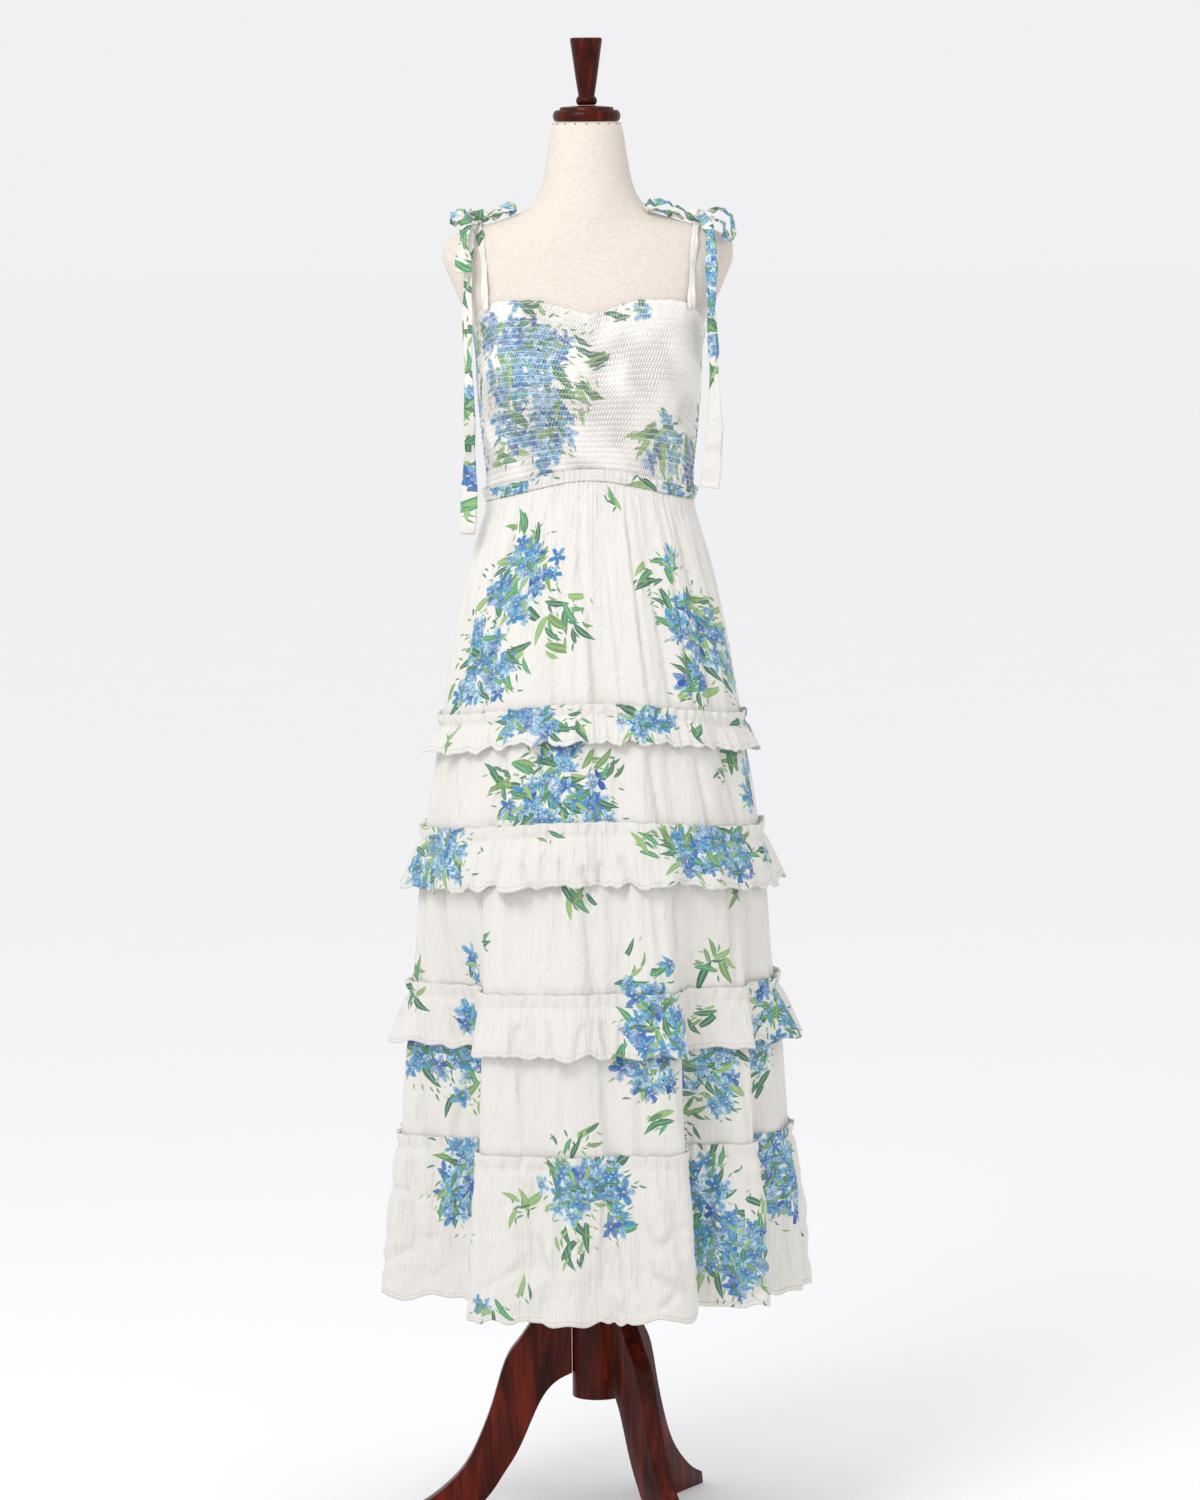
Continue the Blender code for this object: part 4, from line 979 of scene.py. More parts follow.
@dataclass
class Sheet:
    """A printed sheet of cloth, made from a grid that its place function bends to shape."""

    name: str
    columns: int
    rows: int
    place: Callable[[np.ndarray, np.ndarray], np.ndarray]
    closed: bool = False
    bouquets: Sequence[Bouquet] = ()
    spots: Sequence[Spot] = ()
    shell: float = SHELL
    seed: int = 0
    weave_height: float = 0.0

    def _spots(self, points: np.ndarray, across: np.ndarray, up: np.ndarray) -> list:
        """Find the sheet's bouquets in flat metres, those of the front and their kin at the back.

        Args:
            points: The grid's places by column and row.
            across: Each column's distance along the cloth.
            up: Each row's height up the cloth.

        Returns:
            The sheet's own spots and the found ones.
        """
        found = list(self.spots)
        for facing in (-1.0, 1.0):
            hidden = np.where((points[..., 1] - AXIS[1]) * facing > -0.004, 0.0, FAR)
            for number, bouquet in enumerate(self.bouquets):
                blobs = []
                motifs = bouquet.flowers + bouquet.leaves
                middle = sum(motif[0] for motif in motifs) / len(motifs)
                for x, z, reach in motifs:
                    if facing > 0.0:
                        x = KIN_SHIFT + KIN_SPREAD * middle + KIN_SCALE * (x - middle)
                        z = z + (number % 3 - 1) * KIN_RISE
                    away = (points[..., 0] - AXIS[0] - x) ** 2 + (points[..., 2] - z) ** 2 + hidden
                    column, row = np.unravel_index(np.argmin(away), away.shape)
                    blobs.append((across[column], up[row], reach))
                count = len(bouquet.flowers)
                found.append(Spot(tuple(blobs[:count]), tuple(blobs[count:])))
        return found

    def build(self, material: bpy.types.Material) -> bpy.types.Object:
        """Make the sheet.

        Args:
            material: Its printed finish.

        Returns:
            The object, with a Solidify shell if the sheet has one.
        """
        bm = bmesh.new()
        bmesh.ops.create_grid(bm, x_segments=self.columns, y_segments=self.rows, size=0.5)
        mesh = bpy.data.meshes.new(self.name)
        bm.to_mesh(mesh)
        bm.free()
        column, row = grid_positions(mesh, self.columns, self.rows)
        places = self.place(column / self.columns, row / self.rows)
        mesh.vertices.foreach_set("co", places.ravel())
        points = np.empty((self.columns + 1, self.rows + 1, 3))
        points[column, row] = places
        middle = points[:, self.rows // 2]
        across = np.concatenate(([0.0], np.cumsum(np.linalg.norm(np.diff(middle, axis=0), axis=1))))
        rise = np.linalg.norm(np.diff(points, axis=1), axis=2).mean(axis=0)
        up = np.concatenate(([0.0], np.cumsum(rise)))
        corner = np.empty(len(mesh.loops), dtype=np.int32)
        mesh.loops.foreach_get("vertex_index", corner)
        s = across[column[corner]].reshape(-1, 4)
        t = up[row[corner]].reshape(-1, 4)
        self._lay_print(mesh, s, t, self._spots(points, across, up), across[-1])
        if self.weave_height > 0.0:
            t = row[corner].reshape(-1, 4) / self.rows * self.weave_height
        weave = mesh.uv_layers.new(name="weave")
        weave.data.foreach_set("uv", np.stack((s, t), axis=2).ravel())
        mesh.materials.append(material)
        if self.closed:
            bm = bmesh.new()
            bm.from_mesh(mesh)
            bmesh.ops.remove_doubles(bm, verts=bm.verts[:], dist=0.00002)
            bm.to_mesh(mesh)
            bm.free()
        mesh.shade_smooth()
        made = bpy.data.objects.new(self.name, mesh)
        bpy.context.scene.collection.objects.link(made)
        if self.shell > 0.0:
            solid = made.modifiers.new("shell", "SOLIDIFY")
            solid.thickness = self.shell
            solid.offset = -1.0
        return made

    def _lay_print(self, mesh: bpy.types.Mesh, s: np.ndarray, t: np.ndarray, spots: Sequence[Spot],
                   around: float) -> None:
        """Give each face the nearest bouquet, and its corners their place in it.

        Args:
            mesh: The sheet's mesh.
            s: The corners' distances along the cloth, four to a face.
            t: Their heights up the cloth.
            spots: The bouquets.
            around: The cloth's whole length.
        """
        spots = list(spots) or [Spot((), ((FAR, FAR, 0.0001),))]
        centres = np.array([np.array(spot.flowers + spot.leaves)[:, :2].mean(axis=0) for spot in spots])
        ds = s.mean(axis=1)[:, None] - centres[None, :, 0]
        if self.closed:
            ds = ds - around * np.round(ds / around)
        dt = t.mean(axis=1)[:, None] - centres[None, :, 1]
        nearest = np.full(ds.shape, np.inf)
        table = {name: [] for name in ("seed", *BLOBS)}
        for number, (spot, centre) in enumerate(zip(spots, centres)):
            for x, y, reach in spot.flowers + spot.leaves:
                away = np.hypot(ds[:, number] - x + centre[0], dt[:, number] - y + centre[1]) - 1.4 * reach
                nearest[:, number] = np.minimum(nearest[:, number], away)
            shift = self.seed * 0.37 + number * 0.83
            row = [(shift, shift * 0.61 + 0.2, 0.0)]
            for blobs, count in zip(spot, (len(BLOOMS), len(SPRAYS))):
                own = [(x - centre[0], y - centre[1], reach) for x, y, reach in blobs]
                row += (own + [NO_BLOB] * count)[:count]
            for values, value in zip(table.values(), row):
                values.append(value)
        pick = np.argmin(nearest, axis=1)
        faces = np.arange(len(pick))
        local = [way - way.mean(axis=1)[:, None] + off[faces, pick][:, None]
                 for way, off in ((s, ds), (t, dt))]
        layer = mesh.uv_layers.new(name="print")
        layer.data.foreach_set("uv", np.stack(local, axis=2).ravel())
        for name, values in table.items():
            layer = mesh.attributes.new(name, "FLOAT_VECTOR", "CORNER")
            each = np.repeat(np.array(values)[pick], 4, axis=0)
            layer.data.foreach_set("vector", each.astype(np.float32).ravel())


def finish_piece(piece: bpy.types.Object, replaced: Sequence[str]) -> bpy.types.Object:
    """Ride a piece on the body and hide the solids that it stands for.

    Args:
        piece: The piece.
        replaced: The CAD nodes that it stands for.

    Returns:
        The piece.
    """
    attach(piece, BODY)
    if replaced:
        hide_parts(*replaced)
    LOG.info("%s: %d faces", piece.name, len(piece.data.polygons))
    return piece


def creased(angle: np.ndarray, z: np.ndarray, creases: Sequence[Crease]) -> np.ndarray:
    """The depth that a table of soft grooves takes from a panel.

    Args:
        angle: Directions in degrees.
        z: Heights.
        creases: The grooves; one of negative depth is a ridge.

    Returns:
        Depths, one a point.
    """
    total = np.zeros(angle.shape)
    for crease in creases:
        along, fall = math.radians(crease.end_angle - crease.angle) * SKIRT_ARM, crease.end_z - crease.z
        aside, drop = np.radians(wrap(angle - crease.angle)) * SKIRT_ARM, z - crease.z
        length = math.hypot(along, fall)
        part = (aside * along + drop * fall) / length**2
        away = (aside * fall - drop * along) / length
        ends = ease((part + 0.12) / 0.3) * ease((1.12 - part) / 0.35)
        total = total + 1.35 * crease.depth * ends * np.exp(-((away / crease.width) ** 2))
    return total


def with_kin(creases: Sequence[Crease]) -> tuple:
    """Repeat the front's creases on the hidden side, shifted and of other depths.

    Args:
        creases: The front's.

    Returns:
        Both sides' creases.
    """
    kin = [Crease(180.0 - 0.94 * row.angle + 5.0, row.z - 0.006 * (n % 3), 180.0 - 0.92 * row.end_angle + 8.0,
                  row.end_z + 0.009 * (n % 2), row.depth * (0.8 + 0.12 * (n % 4)),
                  row.width * (1.25 - 0.12 * (n % 4))) for n, row in enumerate(creases)]
    return (*creases, *kin)


@dataclass
class Bodice:
    """The shirred bodice: elastic rows, small puffs between them and a plain band at the top."""

    finish: bpy.types.Material
    grid_rows: int = 188
    grid_per_puff: float = 6.0
    puff: float = 0.0006
    band: float = 0.085
    cut_widths: tuple = (0.500, 0.440)
    cut_length: float = 0.245

    def _place(self, start: float, u: np.ndarray, v: np.ndarray) -> np.ndarray:
        """A half's shape.

        Args:
            start: The angle that it starts from.
            u: Shares of its width.
            v: Shares of its height.

        Returns:
            World points.
        """
        angle = start + 180.0 * u
        low = GARMENT.level(WAIST, angle) + 0.0002
        high = steady(NECKLINE, np.abs(wrap(angle))) + 0.0010 * uneven(angle, 46, 1.0)
        z = low + (high - low) * v
        row = np.abs(np.sin(np.pi / self.grid_per_puff * v * self.grid_rows)) ** 0.8
        smocked = ease((1.0 - v - self.band + 0.012) / 0.016)
        height = self.puff * row * smocked * (0.85 + 0.25 * uneven(angle, 71, 0.3))
        frill = 0.0011 * uneven(angle, 62, 2.0) * (1.0 - smocked)
        return GARMENT.point(angle, z, height + frill - 0.0003)

    def build(self) -> None:
        """Make both halves."""
        for half, start, seed, cut_width in (("front", -90.0, 1, self.cut_widths[0]),
                                             ("back", 90.0, 2, self.cut_widths[1])):
            sheet = Sheet(f"bodice_{half}_shirred", 150, self.grid_rows, partial(self._place, start),
                          bouquets=BOUQUETS["bodice"], seed=seed, weave_height=0.235)
            piece = finish_piece(sheet.build(self.finish), [f"bodice_{half}"])


@dataclass
class Tube:
    """A printed tube of cloth round the skirt, which stands for its front and back solids."""

    HELD: ClassVar[Hold]

    name: str
    columns: int
    rows: int
    seed: int
    cut_width: float
    cut_length: float
    finish: bpy.types.Material

    def _place(self, u: np.ndarray, v: np.ndarray) -> np.ndarray:
        """The tube's shape, which each kind gives."""
        raise NotImplementedError

    def build(self) -> None:
        """Make the tube."""
        sheet = Sheet(f"{self.name}_cloth", self.columns, self.rows, self._place, closed=True,
                      bouquets=BOUQUETS[self.name], seed=self.seed)
        piece = finish_piece(sheet.build(self.finish),
                             [f"{self.name}_front", f"{self.name}_back"])


@dataclass
class Tier(Tube):
    """One skirt tier: a tube of cloth gathered into the seam above it."""

    HELD = Hold.HUNG

    high: Level
    low: Level
    gathers: int
    gather_run: float
    wave: float = 0.0018

    def _place(self, u: np.ndarray, v: np.ndarray) -> np.ndarray:
        """The tube's shape.

        Args:
            u: Shares of the way round.
            v: Shares of its height.

        Returns:
            World points.
        """
        angle = 360.0 * u - 90.0
        low, high = GARMENT.level(self.low, angle), GARMENT.level(self.high, angle)
        z = low + (high - low) * v + 0.0002
        below = high - z
        fine = 0.0009 * np.exp(-below / self.gather_run) * uneven(angle, self.gathers, self.seed + 0.5)
        half = 0.0012 * ease(below / 0.03) * np.exp(-below / (2.5 * self.gather_run))
        half = half * uneven(angle, self.gathers // 2 + 3, self.seed + 1.5)
        soft = self.wave * ease(below / 0.08) * uneven(angle, 27, self.seed + 2.5)
        small = 0.0012 * rumple(angle, z, 0.026, self.seed + 3.1, 2.2)
        troughs = creased(angle, z, with_kin(CREASES[self.name])) * ease(below / 0.05)
        out = fine + half + soft + small - troughs - 0.0001 - 0.0011 * ease(below / 0.025)
        return GARMENT.point(angle, z, out)


@dataclass
class Ruffle(Tube):
    """A gathered strip stitched on near its top edge, so that a small heading stands above it."""

    HELD = Hold.GATHERED

    seam: Level
    rows_down: Sequence[Frill]
    gathers: int = 118
    middle: float = 1.0
    crumple: float = 0.0008
    hem_wander: float = 0.0050

    @staticmethod
    def _flare(angle: np.ndarray) -> np.ndarray:
        """Gathered strips stand out further at the sides."""
        return 0.75 + 0.55 * np.exp(-(((np.abs(wrap(angle)) - 92.0) / 26.0) ** 2))

    def _place(self, u: np.ndarray, v: np.ndarray) -> np.ndarray:
        """The strip's shape.

        Args:
            u: Shares of the way round.
            v: Shares of its height.

        Returns:
            World points.
        """
        angle = 360.0 * u - 90.0
        turn = np.radians(angle + 90.0)
        first, last = self.rows_down[0].drop, self.rows_down[-1].drop
        drop = last + (first - last) * v
        stand = steady([(row.drop, row.stand_off) for row in self.rows_down], drop)
        depth = steady([(row.drop, row.wave) for row in self.rows_down], drop)
        phase = (20.0 * turn + 0.8 * np.sin(3.0 * turn + self.seed)
                 + 0.5 * np.sin(7.0 * turn + 2.0 * self.seed))
        wave = (0.5 - 0.5 * np.cos(phase)) * (0.62 + 0.38 * np.sin(5.0 * turn + 1.3 * self.seed))
        shown = 1.0 - (1.0 - self.middle) * np.exp(-((wrap(angle) / 30.0) ** 2))
        away = np.abs(drop)
        fine = 0.0016 * uneven(angle, self.gathers, self.seed + 0.7)
        fine = fine * np.exp(-away / 0.026) * ease(away / 0.003 + 0.35)
        coarse = 0.0026 * ease(away / 0.03) * uneven(angle, self.gathers // 2 - 5, self.seed + 1.9)
        coarse = coarse * np.exp(-away / 0.08)
        heading = np.where(drop < 0.0, ease(-drop / 0.012), 0.0)
        frill = 0.0020 * heading * uneven(angle, self.gathers - 31, self.seed + 4.0)
        z = GARMENT.level(self.seam, angle) - drop
        hangs = last > HEADING_ONLY
        hem = self.hem_wander * ease((drop - 0.3 * last) / (0.7 * last)) if hangs else 0.0
        z = z + hem * (0.8 * uneven(angle, 23, self.seed + 5.0) + 0.4 * uneven(angle, 41, self.seed + 6.0)
                       + 0.5 - np.abs(uneven(angle, 17, self.seed + 7.5)))
        z = z + 0.0012 * heading * uneven(angle, 53, self.seed + 7.0)
        small = self.crumple * (rumple(angle, z, 0.018, self.seed + 8.2, 2.6)
                                + 0.6 * rumple(angle, z, 0.010, self.seed + 9.4, 1.8))
        room = 1.0 / (1.0 + GARMENT.fold_depth(angle, z) / 0.020)
        pulled = ease(away / 0.02)
        out = GAP + CLOTH_ROOM + (stand + depth * wave * shown) * self._flare(angle) * room
        troughs = creased(angle, z, with_kin(CREASES.get(self.name, ()))) * ease(drop / 0.03)
        out = out + (fine + coarse + frill) * shown + small * pulled - troughs
        if not hangs:
            out = out - 0.0009 * ease(drop / last)
        return GARMENT.point(angle, z, np.maximum(out, 0.0008))


def solid_object(name: str, bm: bmesh.types.BMesh, material: bpy.types.Material,
                 smooth_angle: float) -> bpy.types.Object:
    """Turn a bmesh into a smooth-shaded object at the origin.

    Args:
        name: The object's name.
        bm: The bmesh, which is freed.
        material: The finish.
        smooth_angle: Edges sharper than this many degrees stay sharp.

    Returns:
        The object.
    """
    mesh = bpy.data.meshes.new(name)
    bm.to_mesh(mesh)
    bm.free()
    mesh.shade_smooth()
    mesh.set_sharp_from_angle(angle=math.radians(smooth_angle))
    mesh.materials.append(material)
    made = bpy.data.objects.new(name, mesh)
    bpy.context.scene.collection.objects.link(made)
    return made


def smooth_run(knots: Sequence[tuple], per_span: int) -> list:
    """Points on a smooth curve through knots of any number of values each.

    Args:
        knots: The knots.
        per_span: Points to each span.

    Returns:
        The points, from the first knot to the last.
    """
    ends = [knots[0], *knots, knots[-1]]
    points = []
    for p0, p1, p2, p3 in zip(ends, ends[1:], ends[2:], ends[3:]):
        for step in range(per_span):
            t = step / per_span
            points.append(tuple(0.5 * (2 * b + (c - a) * t + (2 * a - 5 * b + 4 * c - d) * t * t
                                       + (3 * b - a - 3 * c + d) * t**3)
                                for a, b, c, d in zip(p0, p1, p2, p3)))
    points.append(tuple(knots[-1]))
    return points


@dataclass
class DressForm:
    """The padded form under its linen, with a row of brass tacks round the neck."""

    linen: bpy.types.Material
    brass: bpy.types.Material
    segments: int = 112
    rings: int = 170
    tack_count: int = 18
    tack_ring: float = 0.0437
    tack_height: float = 1.8422
    tack_radius: float = 0.0013

    def build(self) -> None:
        """Make the cover and the tacks."""
        bm = bmesh.new()
        bmesh.ops.create_grid(bm, x_segments=self.segments, y_segments=self.rings, size=0.5)
        heights = sorted(row.z for row in FORM)
        for vert in bm.verts:
            angle = np.array([360.0 * (vert.co.x + 0.5)])
            place = (vert.co.y + 0.5) * (len(heights) - 1)
            z = np.interp(np.array([place]), range(len(heights)), heights)
            radius = float(GARMENT.form_radius(angle, z)[0])
            turn = math.radians(float(angle[0]))
            vert.co = (radius * math.sin(turn) + AXIS[0], -radius * math.cos(turn) + AXIS[1], float(z[0]))
        bmesh.ops.remove_doubles(bm, verts=bm.verts[:], dist=0.00001)
        bmesh.ops.holes_fill(bm, edges=[edge for edge in bm.edges if edge.is_boundary], sides=0)
        bmesh.ops.recalc_face_normals(bm, faces=bm.faces[:])
        cover = solid_object("form_linen_cover", bm, self.linen, 50.0)
        finish_piece(cover, ["form_torso"])
        tacks = bmesh.new()
        for index in range(self.tack_count):
            turn = 2.0 * math.pi * index / self.tack_count
            place = Vector((self.tack_ring * math.sin(turn) + AXIS[0],
                            -self.tack_ring * math.cos(turn) + AXIS[1], self.tack_height))
            bmesh.ops.create_uvsphere(tacks, u_segments=10, v_segments=6, radius=self.tack_radius,
                                      matrix=Matrix.Translation(place))
        finish_piece(solid_object("neck_tacks", tacks, self.brass, 60.0), [])


@dataclass
class Stand:
    """The turned and sawn stand: flange and finial at the neck, board, pole, hub and three legs."""

    wood: bpy.types.Material
    board: bpy.types.Material
    flange: tuple = ((0.0, 1.8453), (0.0400, 1.8453), (0.0424, 1.8470), (0.0437, 1.8505), (0.0437, 1.8545),
                     (0.0424, 1.8580), (0.0400, 1.8600), (0.0352, 1.8604), (0.0346, 1.8632), (0.0330, 1.8640),
                     (0.0180, 1.8654), (0.0100, 1.8660), (0.0, 1.8660))
    finial: tuple = ((0.0, 1.8663), (0.0102, 1.8663), (0.0124, 1.8678), (0.0136, 1.8705), (0.0136, 1.8735),
                     (0.0124, 1.8762), (0.0108, 1.8778), (0.0106, 1.8800), (0.0112, 1.8830), (0.0140, 1.9010),
                     (0.0170, 1.9230), (0.0196, 1.9420), (0.0208, 1.9500), (0.0204, 1.9520), (0.0190, 1.9530),
                     (0.0, 1.9532))
    hub: tuple = ((0.0, 0.1700), (0.0318, 0.1700), (0.0331, 0.1706), (0.0335, 0.1720), (0.0335, 0.3110),
                  (0.0328, 0.3135), (0.0306, 0.3170), (0.0280, 0.3205), (0.0246, 0.3232), (0.0228, 0.3244),
                  (0.0220, 0.3300), (0.0220, 0.3344), (0.0214, 0.3350), (0.0, 0.3350))
    pole: tuple = ((0.0, 0.3353), (0.0165, 0.3353), (0.0165, 1.0500), (0.0, 1.0500))
    upper_edge: tuple = ((0.0339, 0.3060), (0.0600, 0.2960), (0.0830, 0.2750), (0.1010, 0.2500),
                         (0.1225, 0.2180), (0.1455, 0.1450), (0.1770, 0.0780), (0.2225, 0.0345),
                         (0.2590, 0.0160))
    lower_edge: tuple = ((0.1890, 0.0000), (0.1500, 0.0330), (0.1240, 0.0700), (0.1035, 0.1040),
                         (0.0768, 0.1640), (0.0570, 0.1900), (0.0339, 0.2030))
    leg_turns: dict = field(default_factory=lambda: {"leg_left": 180.0, "leg_front": 300.0, "leg_rear": 60.0})
    leg_thickness: float = 0.025
    leg_round: float = 0.0060
    foot_tip: tuple = (0.2620, 0.0000)
    hub_face: float = 0.0340
    board_half: tuple = (0.128, 0.088)
    board_thickness: float = 0.0194
    board_height: float = 1.0600

    def _turned(self, name: str, profile: Sequence[tuple]) -> None:
        """Spin a profile about the stand's axis.

        Args:
            name: The CAD node that it replaces.
            profile: Its (radius, height) points.
        """
        bm = bmesh.new()
        verts = [bm.verts.new((radius, 0.0, z)) for radius, z in profile]
        edges = [bm.edges.new(pair) for pair in zip(verts, verts[1:])]
        bmesh.ops.spin(bm, geom=verts + edges, cent=(0.0, 0.0, 0.0), axis=(0.0, 0.0, 1.0),
                       angle=2.0 * math.pi, steps=72, use_merge=True)
        bmesh.ops.remove_doubles(bm, verts=bm.verts[:], dist=0.00001)
        bmesh.ops.recalc_face_normals(bm, faces=bm.faces[:])
        bmesh.ops.translate(bm, vec=Vector(AXIS), verts=bm.verts[:])
        finish_piece(solid_object(f"{name}_turned", bm, self.wood, 32.0), [name])

    def _leg(self, name: str, turn: float) -> None:
        """A leg sawn from a board on smooth curves, its long edges rounded over.

        Args:
            name: The CAD node that it replaces.
            turn: Its direction in degrees.
        """
        outline = smooth_run(self.upper_edge, 4) + [self.foot_tip] + smooth_run(self.lower_edge, 4)
        bm = bmesh.new()
        verts = [bm.verts.new((reach, -0.5 * self.leg_thickness, z)) for reach, z in outline]
        side = bm.faces.new(verts)
        grown = bmesh.ops.extrude_face_region(bm, geom=[side], use_keep_orig=True)
        far = [item for item in grown["geom"] if isinstance(item, bmesh.types.BMVert)]
        bmesh.ops.translate(bm, vec=(0.0, self.leg_thickness, 0.0), verts=far)
        bmesh.ops.recalc_face_normals(bm, faces=bm.faces[:])
        rim = [edge for edge in bm.edges
               if abs(edge.verts[0].co.y - edge.verts[1].co.y) < 1e-6
               and max(vert.co.z for vert in edge.verts) > 1e-4
               and min(vert.co.x for vert in edge.verts) > self.hub_face]
        bmesh.ops.bevel(bm, geom=rim, offset=self.leg_round, offset_type="OFFSET", segments=4, profile=0.5,
                        affect="EDGES", clamp_overlap=True, material=-1)
        place = Matrix.Translation(Vector(AXIS)) @ Matrix.Rotation(math.radians(turn), 4, "Z")
        bmesh.ops.transform(bm, matrix=place, verts=bm.verts[:])
        finish_piece(solid_object(f"{name}_sawn", bm, self.wood, 35.0), [name])

    def _board(self) -> None:
        """Make the oval board that the form stands on."""
        bm = bmesh.new()
        bmesh.ops.create_cone(bm, cap_ends=True, segments=96, radius1=1.0, radius2=1.0,
                              depth=self.board_thickness)
        bmesh.ops.scale(bm, vec=(*self.board_half, 1.0), verts=bm.verts[:])
        rim = [edge for edge in bm.edges if abs(edge.verts[0].co.z - edge.verts[1].co.z) < 1e-6]
        bmesh.ops.bevel(bm, geom=rim, offset=0.002, segments=3, profile=0.5, affect="EDGES", material=-1)
        bmesh.ops.translate(bm, vec=Vector(AXIS) + Vector((0.0, 0.0, self.board_height)), verts=bm.verts[:])
        finish_piece(solid_object("form_board", bm, self.board, 35.0), ["base_plate"])

    def build(self) -> None:
        """Make every part of the stand."""
        for name, profile in (("neck_flange", self.flange), ("finial", self.finial), ("hub", self.hub),
                              ("pole", self.pole)):
            self._turned(name, profile)
        self._board()
        for name, turn in self.leg_turns.items():
            self._leg(name, turn)


class Loop(NamedTuple):
    """A bow's loop: where it starts, its turn in plan, its lean, and its (reach, rise) outline."""

    root_x: float
    turn: float
    lean: float
    outline: tuple


LOOPS = {
    "loop_inner_left": Loop(0.1269, 168.0, -34.0, (
        (0.0000, 0.0035), (0.0110, 0.0110), (0.0230, 0.0170), (0.0330, 0.0165), (0.0370, 0.0110),
        (0.0330, 0.0060), (0.0210, 0.0040), (0.0100, 0.0000), (0.0000, -0.0035))),
    "loop_inner_right": Loop(0.1256, 151.0, -34.0, (
        (0.0000, 0.0035), (0.0140, 0.0120), (0.0310, 0.0190), (0.0480, 0.0210), (0.0590, 0.0180),
        (0.0610, 0.0120), (0.0540, 0.0080), (0.0360, 0.0070), (0.0160, 0.0010), (0.0000, -0.0035))),
    "loop_outer_left": Loop(0.1527, 8.0, 34.0, (
        (0.0000, 0.0035), (0.0090, 0.0080), (0.0190, 0.0060), (0.0250, -0.0010), (0.0240, -0.0085),
        (0.0170, -0.0115), (0.0080, -0.0080), (0.0000, -0.0035))),
    "loop_outer_right": Loop(0.1557, 40.0, -12.0, (
        (0.0000, 0.0035), (0.0120, 0.0075), (0.0250, 0.0060), (0.0370, -0.0020), (0.0440, -0.0140),
        (0.0450, -0.0270), (0.0400, -0.0330), (0.0340, -0.0280), (0.0320, -0.0180), (0.0240, -0.0080),
        (0.0120, -0.0060), (0.0000, -0.0035))),
}
TAILS = {
    "tail_long_left": (
        (0.1480, -0.0093, 1.7200, 90.0), (0.1500, -0.0400, 1.7120, 90.0), (0.1530, -0.0560, 1.6950, 92.0),
        (0.1545, -0.0640, 1.6500, 84.0), (0.1560, -0.0650, 1.5800, 60.0), (0.1550, -0.0650, 1.5100, 84.0),
        (0.1540, -0.0650, 1.4300, 112.0), (0.1560, -0.0650, 1.3720, 78.0), (0.1580, -0.0650, 1.3160, 92.0)),
    "tail_short_left": (
        (0.1480, -0.0096, 1.7285, 90.0), (0.1530, -0.0440, 1.7250, 86.0), (0.1580, -0.0660, 1.7060, 84.0),
        (0.1600, -0.0740, 1.6800, 92.0), (0.1590, -0.0760, 1.6540, 96.0)),
    "tail_long_right": (
        (0.1470, -0.0095, 1.7230, 90.0), (0.1530, -0.0420, 1.7140, 92.0), (0.1580, -0.0570, 1.6950, 96.0),
        (0.1590, -0.0650, 1.6500, 84.0), (0.1580, -0.0660, 1.5950, 56.0), (0.1610, -0.0660, 1.5400, 88.0),
        (0.1620, -0.0660, 1.4600, 94.0), (0.1600, -0.0660, 1.4200, 84.0), (0.1540, -0.0670, 1.3740, 98.0)),
    "tail_short_right": (
        (0.1400, 0.0113, 1.7265, 90.0), (0.1420, 0.0300, 1.7230, 90.0), (0.1440, 0.0570, 1.7070, 88.0),
        (0.1450, 0.0720, 1.6780, 92.0), (0.1450, 0.0780, 1.6400, 96.0), (0.1450, 0.0790, 1.5900, 88.0)),
}


def side_of(name: str) -> float:
    """The sign of x on a piece's side, which its name ends with."""
    return -1.0 if name.endswith("left") else 1.0


def run_length(places: Sequence[Vector]) -> float:
    """The length of a run of places."""
    return sum((b - a).length for a, b in zip(places, places[1:]))


